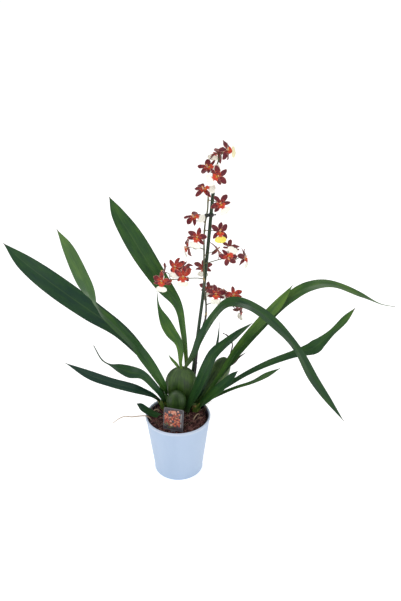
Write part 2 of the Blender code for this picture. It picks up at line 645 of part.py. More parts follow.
def lip_rings(push):
    """Cross-sections of the lip: a narrow waist and a wide rounded blade."""
    rings = []
    for share, wide in ((0.25, 0.24), (0.54, 0.85), (0.8, 1), (1, 0.4)):
        point = Vector((0, -1.5 * MM - LIP_LENGTH * share, HUB_Z + push * math.sin(math.pi * share * 0.8)))
        half, up = Vector((LIP_WIDTH * wide / 2, 0, 0)), Vector((0, 0, BLOOM_THICK / 2))
        rings.append([point + half + up, point - half + up, point - half - up, point + half - up])
    return rings


def bloom_mesh(name, reflex, sweep, push, look):
    """One bloom as one closed skin: a six-sided hub that grows an arm from each side, the column in front
    and the ovary behind. The arms are two petals, three sepals and the lip, by angle from the right."""
    arms = [(24, tepal_rings(24, PETAL_LENGTH, PETAL_WIDTH, reflex, -sweep)),
            (90, tepal_rings(90, SEPAL_LENGTH, SEPAL_WIDTH, reflex, sweep)),
            (156, tepal_rings(156, PETAL_LENGTH, PETAL_WIDTH, reflex, sweep)),
            (214, tepal_rings(214, SEPAL_LENGTH, LOW_SEPAL_WIDTH, reflex * 1.6, -sweep)),
            (270, lip_rings(push)),
            (326, tepal_rings(326, SEPAL_LENGTH, LOW_SEPAL_WIDTH, reflex * 1.6, sweep))]
    corners = []
    for k, (angle, _) in enumerate(arms):
        following = arms[(k + 1) % 6][0] + (360 if k == 5 else 0)
        corners.append(math.radians((angle + following) / 2))

    def circle(radius, height, shift=0.0):
        return [Vector((radius * math.cos(a), radius * math.sin(a) + shift, height)) for a in corners]

    front, back = circle(HUB_R, HUB_Z + 0.7 * MM), circle(HUB_R, HUB_Z - 0.7 * MM)
    skin = [front, circle(1.8 * MM, 9 * MM, 0.5 * MM), circle(1 * MM, 11.5 * MM, 1.2 * MM)]
    points = [point for ring in skin for point in ring] + back + circle(0.8 * MM, 0)
    faces = []
    for a, b in ((0, 6), (6, 12), (18, 24)):
        faces += [(a + k, a + (k + 1) % 6, b + (k + 1) % 6, b + k) for k in range(6)]
    faces += [tuple(range(12, 18)), tuple(range(24, 30))]
    for k, (_, rings) in enumerate(arms):
        before = (k - 1) % 6
        last = [k, before, 18 + before, 18 + k]
        for ring in rings:
            start = len(points)
            points += ring
            fresh = list(range(start, start + 4))
            for m in range(4):
                after = (m + 1) % 4
                faces += split_quad(last[m], last[after], fresh[after], fresh[m], m >= 2)
            last = fresh
        faces.append(tuple(last))
    made = mesh_object(name, points, faces, look)
    mesh = made.data
    bpy.data.objects.remove(made)
    return mesh


def blooms(look):
    """All blooms, on three shapes of one mesh each."""
    kinds = [bloom_mesh("bloom_open", 3 * MM, 12, 3 * MM, look),
             bloom_mesh("bloom_reflexed", 5.5 * MM, -14, 4 * MM, look),
             bloom_mesh("bloom_young", -2.5 * MM, 8, 2 * MM, look)]
    for k, (name, (heart, _, _, heading, tilt, turn)) in enumerate(BLOOMS.items()):
        made = bpy.data.objects.new(name, kinds[k % 3])
        made.matrix_world = bloom_frame(heart, heading, tilt, turn)
        bpy.context.scene.collection.objects.link(made)


def carrier_point(carrier, place):
    """A point of the main stem, found by height, or of a branch, by share, and the way it runs there."""
    path = spline(SPIKE if carrier == "spike" else BRANCHES[carrier], 101)
    if carrier == "spike":
        k = min(range(100), key=lambda i: abs(path[i].z - place * MM))
    else:
        k = min(int(place * 100), 99)
    return path[k], (path[k + 1] - path[k]).normalized()


def flower_stem(look):
    """Main stem, branches and the stalk of every bloom, grown together."""
    count = 30
    path = spline(SPIKE, count)
    radii = [SPIKE_FOOT_R + (SPIKE_TIP_R - SPIKE_FOOT_R) * k / (count - 1) for k in range(count)]
    main = tube("main", path, radii, 6)
    pieces = []
    for points in BRANCHES.values():
        run = spline(points, 7)
        pieces.append(tube("branch", run, [BRANCH_R] * 7, 4))
    for heart, carrier, share, heading, tilt, turn in BLOOMS.values():
        start, along = carrier_point(carrier, share)
        frame = bloom_frame(heart, heading, tilt, turn)
        facing = frame.to_3x3() @ Vector((0, 0, 1))
        end = frame.translation - facing * 1.6 * CLEAR
        early, late = start + along * 5 * MM, end - facing * 6 * MM
        curve = []
        for k in range(4):
            t = k / 3
            curve.append((1 - t) ** 3 * start + 3 * t * (1 - t) ** 2 * early
                         + 3 * t ** 2 * (1 - t) * late + t ** 3 * end)
        pieces.append(tube("stalk", curve, [STALK_R] * 4, 4))
    made = combined("flower_stem", main, pieces, "UNION", look, "MANIFOLD")
    keep_largest(made)
    return made


def support_stick(look):
    points = spline(STICK, 6)
    made = tube("support_stick", points, [STICK_R] * 6, 8, look)
    # the top is cut at a slant
    top = max(vertex.co.z for vertex in made.data.vertices)
    for vertex in made.data.vertices:
        if top - vertex.co.z < 1.5 * MM:
            vertex.co.z += (points[-1].x - vertex.co.x) * 0.8
    return made


def stem_clip(look):
    """A small block round stem and stick, with a thumb lever."""
    stem, stick = (min(spline(path, 400), key=lambda point: abs(point.z - CLIP_Z)) for path in (SPIKE, STICK))
    middle = (stem + stick) / 2
    along = (stick - stem).xy.normalized()
    turn = Matrix.Rotation(math.atan2(along.y, along.x), 4, "Z")

    def block(length, width, height, shift):
        corners = [(-1, -0.6), (-0.6, -1), (0.6, -1), (1, -0.6), (1, 0.6), (0.6, 1), (-0.6, 1), (-1, 0.6)]
        rings = []
        for level in (-height / 2, height / 2):
            rings.append([Matrix.Translation(middle) @ turn
                          @ (Vector((x * length / 2, y * width / 2, level)) + shift) for x, y in corners])
        return mesh_object("block", *bridge(rings))

    body = block((stick - stem).xy.length + 10 * MM, 9 * MM, 5.5 * MM, Vector((0, 0, 0)))
    lever = block(9 * MM, 2.4 * MM, 3.5 * MM, Vector((9 * MM, -3 * MM, 0)))
    clip = combined("clip_block", body, [lever], "UNION", look)
    cutters = [tube("bore", spline(SPIKE, 39)[24:30], [SPIKE_FOOT_R] * 6, 8),
               tube("bore", spline(STICK, 6), [STICK_R + 2 * CLEAR] * 6, 8)]
    return combined("stem_clip", clip, cutters, "DIFFERENCE", look)


def label_body(name, grow=0.0, look=None):
    """The card and the stake under it, one flat plastic piece."""
    half, stake = CARD_W / 2 + grow, STAKE_W / 2 + grow
    corner, deep, shoulder = 4 * MM, -STAKE_DEPTH - grow, -STAKE_DEPTH + 6 * MM
    right = [(stake * 0.3, deep), (stake, shoulder), (stake, 0), (half, 0), (half, CARD_H - corner),
             (half - 0.3 * corner, CARD_H - 0.3 * corner), (half - corner, CARD_H)]
    outline = right + [(-x, y) for x, y in reversed(right)]
    place = (Matrix.Translation(CARD_FOOT) @ Matrix.Rotation(math.radians(CARD_YAW), 4, "Z")
             @ Matrix.Rotation(math.radians(-CARD_LEAN), 4, "X"))
    rings = []
    for level in (-CARD_THICK / 2 - grow, CARD_THICK / 2 + grow):
        rings.append([place @ Vector((x, level, y)) for x, y in outline])
    return mesh_object(name, *bridge(rings), look)


def root(name, look):
    points = spline(ROOTS[name], 2 * len(ROOTS[name]))
    radii = [ROOT_R * (1 - 0.5 * (k / (len(points) - 1)) ** 3) for k in range(len(points))]
    return tube(name, points, radii, 5, look)


def old_spike(name, radius, look=None):
    """The dry stub of last year's spike, bent over at its top."""
    points = spline([P(94, 66, 186), P(103, 68, 206), P(107, 68, 224), P(109, 66, 243), P(99, 64, 262),
                     P(90, 62, 269)], 14)
    return tube(name, points, [radius] * len(points), 5, look)


def build():
    clear_scene()
    green = material("leaf_green", (0.03, 0.09, 0.025), 0.4)
    bulb_green = material("bulb_green", (0.09, 0.15, 0.04), 0.45)
    outer_pot(material("pot_blue_white", (0.5, 0.6, 0.78), 0.45))
    growing_pot(material("liner_black", (0.02, 0.012, 0.03), 0.5))
    bark_mix(material("bark", (0.09, 0.03, 0.02), 0.9))
    bulb_with_stubs("pseudobulb_main", BULB_LEAVES, bulb_green)
    pseudobulb("pseudobulb_front", bulb_green)
    rear = bulb_with_stubs("pseudobulb_rear", REAR_BULB_LEAVES, bulb_green)
    combined("pseudobulb_rear", rear, [old_spike("socket", 1.5 * MM + CLEAR)], "DIFFERENCE", bulb_green)
    sheath = material("sheath_green", (0.1, 0.14, 0.04), 0.55)
    leaf_sheaths("sheaths_left", LEFT_CROWN, LEFT_CROWN_R, LEFT_FAN, LEFT_SCALES, sheath)
    leaf_sheaths("sheaths_right", RIGHT_CROWN, RIGHT_CROWN_R, RIGHT_FAN, RIGHT_SCALES, sheath)
    for name in LEAVES:
        leaf_blade(name, green)
    flower_stem(material("stem_dark", (0.05, 0.06, 0.02), 0.5))
    old_spike("old_spike", 1.3 * MM, material("dry_stem", (0.05, 0.03, 0.015), 0.8))
    blooms(material("petal_maroon", (0.25, 0.02, 0.02), 0.5))
    support_stick(material("stick_green", (0.02, 0.05, 0.02), 0.5))
    stem_clip(material("clip_black", (0.01, 0.01, 0.01), 0.4))
    label_body("plant_label", 0.0, material("label_card", (0.05, 0.045, 0.05), 0.4))
    root_tan = material("root_tan", (0.45, 0.32, 0.2), 0.8)
    for name in ROOTS:
        root(name, root_tan)


build()
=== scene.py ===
import math
import random

import bpy
import numpy as np
from mathutils import Matrix, Vector, noise


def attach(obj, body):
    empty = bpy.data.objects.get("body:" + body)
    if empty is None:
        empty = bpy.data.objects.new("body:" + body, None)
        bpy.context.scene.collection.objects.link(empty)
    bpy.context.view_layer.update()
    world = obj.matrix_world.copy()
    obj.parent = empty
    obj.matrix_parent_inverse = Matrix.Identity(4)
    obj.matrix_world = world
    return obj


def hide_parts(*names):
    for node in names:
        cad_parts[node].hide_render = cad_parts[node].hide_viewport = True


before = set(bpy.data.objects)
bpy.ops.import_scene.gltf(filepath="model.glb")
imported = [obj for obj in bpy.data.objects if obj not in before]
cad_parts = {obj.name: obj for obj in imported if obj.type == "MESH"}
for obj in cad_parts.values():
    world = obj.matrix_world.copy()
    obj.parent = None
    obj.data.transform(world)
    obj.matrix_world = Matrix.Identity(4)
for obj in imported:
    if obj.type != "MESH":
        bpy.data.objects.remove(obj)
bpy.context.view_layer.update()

mm = 0.001
print("frame loaded with", len(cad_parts), "nodes")


# Small tools for meshes. A pile gathers points and faces of many bits, then becomes one object.
# marks = across (-1 to 1), along (0 to 1) and side; grain = the place in mm that textures run in.

def newPile():
    return {"points": [], "faces": [], "looks": [], "marks": [], "grain": [], "tone": [], "count": 0}


def addTo(pile, points, faces, look=0, marks=None, grain=None, tone=0.5):
    points = np.asarray(points, float).reshape(-1, 3)
    start = pile["count"]
    pile["points"].append(points)
    pile["faces"] += [tuple(start + k for k in face) for face in faces]
    pile["looks"] += [look] * len(faces)
    pile["marks"].append(np.zeros_like(points) if marks is None else np.asarray(marks, float).reshape(-1, 3))
    pile["grain"].append(points / mm if grain is None else np.asarray(grain, float).reshape(-1, 3))
    pile["tone"].append(np.broadcast_to(np.asarray(tone, float), (len(points),)).copy())
    pile["count"] += len(points)


def pileToObject(pile, name, looks, sharpAngle=50):
    mesh = bpy.data.meshes.new(name)
    mesh.from_pydata(np.concatenate(pile["points"]).tolist(), [], pile["faces"])
    for key in ("marks", "grain"):
        layer = mesh.attributes.new(key, "FLOAT_VECTOR", "POINT")
        layer.data.foreach_set("vector", np.concatenate(pile[key]).astype(np.float32).ravel())
    layer = mesh.attributes.new("tone", "FLOAT", "POINT")
    layer.data.foreach_set("value", np.concatenate(pile["tone"]).astype(np.float32))
    for look in looks:
        mesh.materials.append(look)
    mesh.polygons.foreach_set("material_index", pile["looks"])
    mesh.shade_smooth()
    mesh.set_sharp_from_angle(angle=math.radians(sharpAngle))
    made = bpy.data.objects.new(name, mesh)
    bpy.context.scene.collection.objects.link(made)
    return made


def addRings(pile, rings, look=0, marks=None, grain=None, tone=0.5, capped=True):
    # a skin over closed rings, one after the other, and over both ends
    rings = np.asarray(rings, float)
    rows, columns = rings.shape[:2]
    faces = []
    for row in range(rows - 1):
        for k in range(columns):
            a, b = row * columns + k, row * columns + (k + 1) % columns
            faces.append((a, b, b + columns, a + columns))
    if capped:
        faces.append(tuple(range(columns - 1, -1, -1)))
        faces.append(tuple(range((rows - 1) * columns, rows * columns)))
    addTo(pile, rings, faces, look, marks, grain, tone)


def newSheet(steps):
    # a thin sheet in the making; t runs across it
    return {"t": np.linspace(-1, 1, steps + 1), "rings": [], "marks": [], "grain": []}


def addSection(sheet, top, under, share, half, reach, seed, underSeed=None):
    # one cross-section of the sheet: its upper side, then back along its underside
    t, back = sheet["t"], sheet["t"][::-1]
    underSeed = seed if underSeed is None else underSeed
    sheet["rings"].append(np.concatenate([top, under[::-1]]))
    sheet["marks"].append([(x, share, 1) for x in t] + [(x, share, -1) for x in back])
    sheet["grain"].append([(x * half, reach, seed) for x in t]
                          + [(x * half, reach, underSeed) for x in back])


def addSheet(pile, sheet, tone, unit=mm, look=0):
    addRings(pile, np.array(sheet["rings"]) * unit, look, sheet["marks"], sheet["grain"], tone)


def clamp(x, low, high):
    return min(max(x, low), high)


def polar(radius, a):
    return radius * math.cos(a), radius * math.sin(a)


def turnsOf(sides):
    return 2 * math.pi * np.arange(sides) / sides


def reachAlong(path):
    return np.concatenate([[0], np.cumsum(np.linalg.norm(np.diff(path, axis=0), axis=1))])


def smoothStep(x):
    x = np.clip(x, 0, 1)
    return x * x * (3 - 2 * x)


def throughThree(share, first, middle, last):
    # the curve through three values, at shares 0, 0.5 and 1
    left = 1 - share
    return first * left * (1 - 2 * share) + 4 * middle * share * left + last * share * (2 * share - 1)


def splineRun(points, count):
    # smooth curve through given points, count points along it
    points = [np.asarray(p, float) for p in points]
    padded = [2 * points[0] - points[1], *points, 2 * points[-1] - points[-2]]
    run = []
    for k in range(count):
        along = k / (count - 1) * (len(points) - 1)
        i = min(int(along), len(points) - 2)
        t = along - i
        a, b, c, d = padded[i:i + 4]
        run.append(0.5 * (2 * b + (c - a) * t + (2 * a - 5 * b + 4 * c - d) * t ** 2
                          + (3 * b - a - 3 * c + d) * t ** 3))
    return np.array(run)


def tubeRings(path, radii, sides, squash=1.0):
    path = np.asarray(path, float)
    tangents = np.gradient(path, axis=0)
    tangents /= np.linalg.norm(tangents, axis=1)[:, None]
    side = np.array(Vector(tangents[0]).orthogonal().normalized())
    turns = turnsOf(sides)[:, None]
    rings = []
    for point, tangent, radius in zip(path, tangents, radii):
        side = side - tangent * side.dot(tangent)
        side /= np.linalg.norm(side)
        other = np.cross(tangent, side)
        rings.append(point + radius * (np.cos(turns) * side + squash * np.sin(turns) * other))
    return np.array(rings)


def addTube(pile, path, radii, sides, look=0, tone=0.5, squash=1.0, seed=0.0):
    path = np.asarray(path, float)
    radii = np.broadcast_to(np.asarray(radii, float), (len(path),))
    rings = tubeRings(path, radii, sides, squash)
    reach = reachAlong(path)
    turns = turnsOf(sides)[None]
    grain = np.empty_like(rings)
    grain[:, :, 0] = np.cos(turns) * radii[:, None] / mm
    grain[:, :, 1] = reach[:, None] / mm
    grain[:, :, 2] = np.sin(turns) * radii[:, None] / mm + seed
    marks = np.zeros_like(rings)
    marks[:, :, 0] = np.sin(turns)
    marks[:, :, 1] = (reach / max(reach[-1], 1e-9))[:, None]
    tones = np.broadcast_to(np.asarray(tone, float).reshape(-1, 1), rings.shape[:2])
    addRings(pile, rings, look, marks, grain, tones.ravel())


def ballShape(level):
    # unit ball as points and faces, used for chips, caps and bumps
    bpy.ops.mesh.primitive_ico_sphere_add(subdivisions=level, radius=1)
    ball = bpy.context.object
    points = np.array([v.co[:] for v in ball.data.vertices])
    faces = [tuple(p.vertices) for p in ball.data.polygons]
    bpy.data.objects.remove(ball)
    return points, faces


ballPoints, ballFaces = ballShape(2)


def dress(piece, slotName, *nodes):
    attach(piece, "root")
    if nodes:
        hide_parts(*nodes)


# A material and its node recipes. Meshes carry marks, grain and tone; place is the object's own space in m.

class Look:
    def __init__(self, name, roughness, specular):
        self.skin = bpy.data.materials.new(name)
        self.skin.use_nodes = True
        self.tree = self.skin.node_tree
        self.shader = self.tree.nodes["Principled BSDF"]
        self.fix("Roughness", roughness)
        self.fix("Specular IOR Level", specular)

    def fix(self, socket, value):
        self.shader.inputs[socket].default_value = value

    def feed(self, socket, value):
        self.tree.links.new(value, self.shader.inputs[socket])

    def paint(self, colour):
        self.feed("Base Color", colour)

    def node(self, kind, sockets=(), **settings):
        made = self.tree.nodes.new(kind)
        for key, value in settings.items():
            setattr(made, key, value)
        for key, value in dict(sockets).items():
            if isinstance(value, bpy.types.NodeSocket):
                self.tree.links.new(value, made.inputs[key])
            else:
                made.inputs[key].default_value = value
        return made

    def carried(self, name):
        made = self.node("ShaderNodeAttribute", attribute_name=name)
        return made.outputs["Fac" if name == "tone" else "Vector"]

    def marks(self):
        return self.parts(self.carried("marks"))

    def place(self):
        return self.node("ShaderNodeTexCoord").outputs["Object"]

    def parts(self, vector):
        made = self.node("ShaderNodeSeparateXYZ", {0: vector})
        return made.outputs[0], made.outputs[1], made.outputs[2]

    def noise(self, vector, scale=1.0, detail=3.0, rough=0.5, twist=0.0):
        sockets = {"Vector": vector, "Scale": scale, "Detail": detail, "Roughness": rough,
                   "Distortion": twist}
        return self.node("ShaderNodeTexNoise", sockets).outputs["Fac"]

    def streaks(self, vector, squeeze, detail, rough=0.5, twist=0.0):
        squeezed = self.node("ShaderNodeMapping", {"Vector": vector, "Scale": squeeze}).outputs[0]
        return self.noise(squeezed, 1.0, detail, rough, twist)

    def math(self, operation, first, second=0.0):
        return self.node("ShaderNodeMath", {0: first, 1: second}, operation=operation).outputs[0]

    def add(self, first, second, share=1.0):
        return self.math("ADD", first, second if share == 1.0 else self.math("MULTIPLY", second, share))

    def span(self, value, low, high, toLow=0.0, toHigh=1.0):
        sockets = {"Value": value, "From Min": low, "From Max": high, "To Min": toLow, "To Max": toHigh}
        return self.node("ShaderNodeMapRange", sockets, interpolation_type="SMOOTHSTEP").outputs[0]

    def ramp(self, factor, *stops):
        made = self.node("ShaderNodeValToRGB", {"Fac": factor})
        elements = made.color_ramp.elements
        while len(elements) < len(stops):
            elements.new(0.5)
        for element, (place, colour) in zip(elements, stops):
            element.position = place
            element.color = (*colour, 1)
        return made.outputs[0]

    def mix(self, amount, first, second):
        first, second = (c if isinstance(c, bpy.types.NodeSocket) else (*c, 1) for c in (first, second))
        sockets = {0: amount, 6: first, 7: second}
        return self.node("ShaderNodeMix", sockets, data_type="RGBA", clamp_factor=True).outputs[2]

    def tint(self, colour, other, *span):
        # the other colour where a value is high: value, low, high and the share of it at both
        return self.mix(self.span(*span), colour, other)

    def bump(self, height, distance, strength):
        sockets = {"Height": height, "Distance": distance, "Strength": strength}
        self.feed("Normal", self.node("ShaderNodeBump", sockets).outputs[0])


def streakyLook(name, roughness, specular, squeeze, detail, rough, bump, *stops):
    look = Look(name, roughness, specular)
    streak = look.streaks(look.carried("grain"), squeeze, detail, rough)
    look.paint(look.ramp(streak, *stops))
    look.bump(streak, *bump)
    return look.skin


# Camera and studio

cameraSet = {"place": (0.0, -1.13692, 0.94196), "downDegrees": 26.605, "rightDegrees": 2.213,
             "lens": 42.41, "sensor": 36.0}


def makeCamera():
    data = bpy.data.cameras.new("photoCamera")
    data.sensor_fit = "VERTICAL"
    data.sensor_height = cameraSet["sensor"]
    data.lens = cameraSet["lens"]
    data.clip_end = 200
    camera = bpy.data.objects.new("photoCamera", data)
    camera.location = cameraSet["place"]
    down, right = math.radians(cameraSet["downDegrees"]), math.radians(cameraSet["rightDegrees"])
    camera.rotation_euler = (math.pi / 2 - down, 0, -right)
    bpy.context.scene.collection.objects.link(camera)
    bpy.context.scene.camera = camera


# each lamp: place, height it looks at, watts and size; floorGlow keeps the far floor white
studio = {"skyStrength": 0.62, "floorHalf": 60.0, "floorHeight": -0.0003, "floorGlow": 0.45}
lampTable = {
    "keyLight": ((-1.0, -1.5, 2.0), 0.3, 17, 1.4),
    "fillLight": ((1.6, -1.2, 1.2), 0.3, 5, 1.6),
    "backLight": ((0.3, 1.6, 1.8), 0.4, 8, 1.2),
}


def makeLight(name, place, aimHeight, watts, size):
    data = bpy.data.lights.new(name, "AREA")
    data.energy = watts
    data.size = size
    light = bpy.data.objects.new(name, data)
    light.location = place
    light.rotation_euler = (Vector((0, 0, aimHeight)) - Vector(place)).to_track_quat("-Z", "Y").to_euler()
    bpy.context.scene.collection.objects.link(light)


def makeStudio():
    world = bpy.data.worlds.new("studioSky")
    world.use_nodes = True
    sky = world.node_tree.nodes["Background"].inputs
    sky["Color"].default_value = (1, 1, 1, 1)
    sky["Strength"].default_value = studio["skyStrength"]
    bpy.context.scene.world = world
    bpy.context.scene.view_settings.view_transform = "Standard"
    for name, lamp in lampTable.items():
        makeLight(name, *lamp)
    look = Look("paleFloor", 0.9, 0.1)
    cloud = look.noise(look.node("ShaderNodeNewGeometry").outputs["Position"], 3.0, 2.0)
    look.paint(look.ramp(cloud, (0.3, (0.93, 0.93, 0.93)), (0.7, (0.95, 0.95, 0.95))))
    look.fix("Emission Color", (1, 1, 1, 1))
    look.fix("Emission Strength", studio["floorGlow"])
    half, level = studio["floorHalf"], studio["floorHeight"]
    corners = ((-1, -1), (1, -1), (1, 1), (-1, 1))
    pile = newPile()
    addTo(pile, [(x * half, y * half, level) for x, y in corners], [(0, 1, 2, 3)])
    pileToObject(pile, "studioFloor", [look.skin])


makeCamera()
makeStudio()
print("camera and studio ready")


# Cover pot and growing pot. Heights and radii in mm, the same as the CAD outline but rounder.

potSet = {"height": 125, "rimRadius": 63.5, "mouthRadius": 60.5, "baseRadius": 47, "wall": 2.2, "floor": 3,
          "sides": 160, "bodyColour": (0.4, 0.51, 0.68), "rimLitColour": (0.52, 0.6, 0.74),
          "cloudColour": (0.43, 0.54, 0.71), "speckColour": (0.52, 0.62, 0.77),
          "footShadeColour": (0.36, 0.48, 0.66)}
linerSet = {"top": 121.5, "wall": 1.1, "gap": 0.5, "sides": 128}
clearGap = 0.35


def innerRadius(height):
    share = (height - potSet["floor"]) / (potSet["height"] - potSet["floor"])
    inside = potSet["baseRadius"] - potSet["wall"]
    return inside + share * (potSet["mouthRadius"] - inside)


def arcPoints(cx, cy, radius, fromDegrees, toDegrees, count):
    points = []
    for k in range(count):
        a = math.radians(fromDegrees + (toDegrees - fromDegrees) * k / (count - 1))
        points.append((cx + radius * math.cos(a), cy + radius * math.sin(a)))
    return points


def turnedPiece(name, outline, sides, look):
    pile = newPile()
    x, y, flat = np.cos(turnsOf(sides)), np.sin(turnsOf(sides)), np.ones(sides)
    addRings(pile, [np.stack([radius * x, radius * y, height * flat], 1) * mm for radius, height in outline])
    return pileToObject(pile, name, [look], 40)


def potLook():
    look = Look("potPlastic", 0.42, 0.4)
    place = look.place()
    height = look.parts(place)[2]
    cloud = look.streaks(place, (22, 22, 8), 4.0)
    body = look.tint(potSet["bodyColour"], potSet["cloudColour"], cloud, 0.35, 0.65)
    body = look.tint(body, potSet["speckColour"], look.noise(place, 900.0, 2.0), 0.62, 0.75, 0.0, 0.25)
    # painted shade: the foot darker towards the bottom, where the pot stands on the floor
    body = look.tint(body, potSet["footShadeColour"], height, 0.0, 0.03, 0.35, 0.0)
    # painted light: the rim paler, as the light falling on its rolled top
    look.paint(look.tint(body, potSet["rimLitColour"], height, 0.1165, 0.1215))
    scuff = look.streaks(place, (60, 60, 500), 5.0, 0.65)
    look.feed("Roughness", look.span(scuff, 0.3, 0.75, 0.36, 0.52))
    look.bump(look.add(look.noise(place, 1400.0, 2.0), scuff, 0.5), 0.00003, 0.5)
    return look.skin


def makePot():
    base, rim, mouth = potSet["baseRadius"], potSet["rimRadius"], potSet["mouthRadius"]
    belowRim = innerRadius(117) + potSet["wall"]
    outline = [(0.5, 1.2), (41, 1.2), (41.6, 0.05), (42, 0)]
    outline += arcPoints(base - 2.6, 3.6, 3.6, -85, -8, 10)
    outline += [(base + 0.6, 7), (base + 0.6 + (belowRim - base - 0.6) * 0.5, 62), (belowRim, 116.6)]
    outline += [(belowRim + 0.15, 117.8), (belowRim + 0.9, 119.3)]
    outline += arcPoints(rim - 1.9, 122.4, 1.9, -52, 60, 10)
    outline += arcPoints(rim - 1.6, 123.1, 1.9, 78, 168, 10)
    outline += [(mouth - 0.1, 121.8), (innerRadius(115), 115), (innerRadius(60), 60), (innerRadius(8), 8)]
    outline += [(innerRadius(8) - 1, 4.6), (innerRadius(8) - 3.5, potSet["floor"]), (0.5, potSet["floor"])]
    dress(turnedPiece("coverPot", outline, potSet["sides"], potLook()), "pot_blue_white", "outer_pot")


def linerLook():
    look = Look("linerPlastic", 0.38, 0.5)
    place = look.place()
    dust = look.noise(place, 180.0, 5.0, 0.6)
    look.paint(look.ramp(dust, (0.3, (0.008, 0.004, 0.014)), (0.62, (0.02, 0.01, 0.03)),
                         (0.85, (0.06, 0.035, 0.05))))
    look.feed("Roughness", look.span(dust, 0.3, 0.8, 0.3, 0.6))
    look.bump(look.noise(place, 700.0, 3.0), 0.00005, 0.5)
    return look.skin


def makeLiner():
    top, wall, floor = linerSet["top"], linerSet["wall"], potSet["floor"] + clearGap

    def outside(height):
        return innerRadius(height) - linerSet["gap"]

    outline = [(0.5, floor), (outside(9) - 3.5, floor), (outside(9) - 0.8, 6.6)]
    outline += [(outside(9), 9), (outside(60), 60)]
    outline += arcPoints(outside(top) - 0.55, top - 0.5, 0.5, 0, 90, 5)
    outline += arcPoints(outside(top) - 1.5, top - 0.5, 0.5, 90, 180, 5)
    outline += [(outside(118) - wall, 118), (outside(60) - wall, 60), (outside(10) - wall, 10)]
    outline += [(outside(9) - 4.5, floor + 1.2), (0.5, floor + 1.2)]
    dress(turnedPiece("growingPot", outline, linerSet["sides"], linerLook()), "liner_black", "growing_pot")


makePot()
makeLiner()
print("pots done")


# Bark: a rough bed, loose chips on it, crumbs and tan fibres

barkSet = {"top": 115, "reach": 56.2, "relief": 2.5, "grain": 9, "fineRelief": 0.7, "fineGrain": 2.6,
           "rings": 44, "columns": 96, "plugSide": ((56.2, 112), (43.5, 10), (39, 6)), "seed": 21,
           "chips": 760, "chipLength": (5, 13), "chipThick": (1.2, 2.8), "chipRough": 0.22, "chipTip": 0.45,
           "spiralDegrees": 137.5, "crumbs": 1500, "crumbLength": (1.6, 4), "fibres": 240}
anyTurn = (0, 6.28)


def barkLook(name, pale=0.0):
    look = Look(name, 0.92, 0.2)
    grain = look.carried("grain")
    fibre = look.streaks(grain, (0.25, 1.6, 1.6), 6.0, 0.65, 0.4)
    fine = look.noise(grain, 2.2, 4.0, 0.6)
    mixed = look.add(look.math("MULTIPLY", fibre, 0.45), look.carried("tone"), 0.55)
    colour = look.ramp(mixed, (0.2, (0.01, 0.004, 0.006)), (0.42, (0.036, 0.013, 0.014)),
                       (0.58, (0.105, 0.04, 0.036)), (0.74, (0.24, 0.12, 0.105)), (0.9, (0.42, 0.28, 0.24)))
    flecks = (0.2 + pale, 0.11 + pale, 0.08 + pale)
    look.paint(look.tint(colour, flecks, fine, 0.6, 0.75, 0.0, 0.4))
    look.bump(look.add(fibre, fine, 0.4), 0.0006, 0.9)
    return look.skin


def fibreLook():
    look = Look("tanFibre", 0.8, 0.3)
    look.paint(look.ramp(look.carried("tone"), (0.0, (0.09, 0.045, 0.025)),
                         (0.5, (0.26, 0.15, 0.085)), (1.0, (0.55, 0.42, 0.28))))
    return look.skin


def bedHeight(x, y):
    lift = barkSet["relief"] * noise.noise(Vector((x, y, 0)) / barkSet["grain"])
    fine = barkSet["fineRelief"] * noise.noise(Vector((x, y, 40)) / barkSet["fineGrain"])
    return barkSet["top"] + lift + fine


def addChip(pile, place, size, turn, tips, draw, tone):
    shape = ballPoints.copy()
    jitter = Vector((draw.uniform(0, 90), draw.uniform(0, 90), draw.uniform(0, 90)))
    for k, point in enumerate(shape):
        square = point / max(np.abs(point).max() ** 0.55, 1e-6)
        shape[k] = square * (1 + barkSet["chipRough"] * noise.noise(Vector(point) * 1.7 + jitter))
    shape *= np.array(size) / 2
    turned = Matrix.Rotation(turn, 3, "Z") @ Matrix.Rotation(tips[0], 3, "X")
    turned = turned @ Matrix.Rotation(tips[1], 3, "Y")
    points = (shape @ np.array(turned).T + np.array(place)) * mm
    addTo(pile, points, ballFaces, 0, None, shape + np.array(jitter), tone)


def addPlug(pile):
    # the rough bed, then the plug's side and underside, which stay plain inside the pot
    points = []
    turns = [2 * math.pi * k / barkSet["columns"] for k in range(barkSet["columns"])]
    for row in range(barkSet["rings"]):
        radius = barkSet["reach"] * (row + 0.5) / barkSet["rings"] + 0.2
        drop = 1.2 * smoothStep((radius - 51) / 5)
        for x, y in (polar(radius, a) for a in turns):
            points.append((x * mm, y * mm, (bedHeight(x, y) - drop) * mm))
    for radius, height in barkSet["plugSide"]:
        for x, y in (polar(radius, a) for a in turns):
            points.append((x * mm, y * mm, height * mm))
    addRings(pile, np.reshape(points, (-1, barkSet["columns"], 3)), tone=0.3)


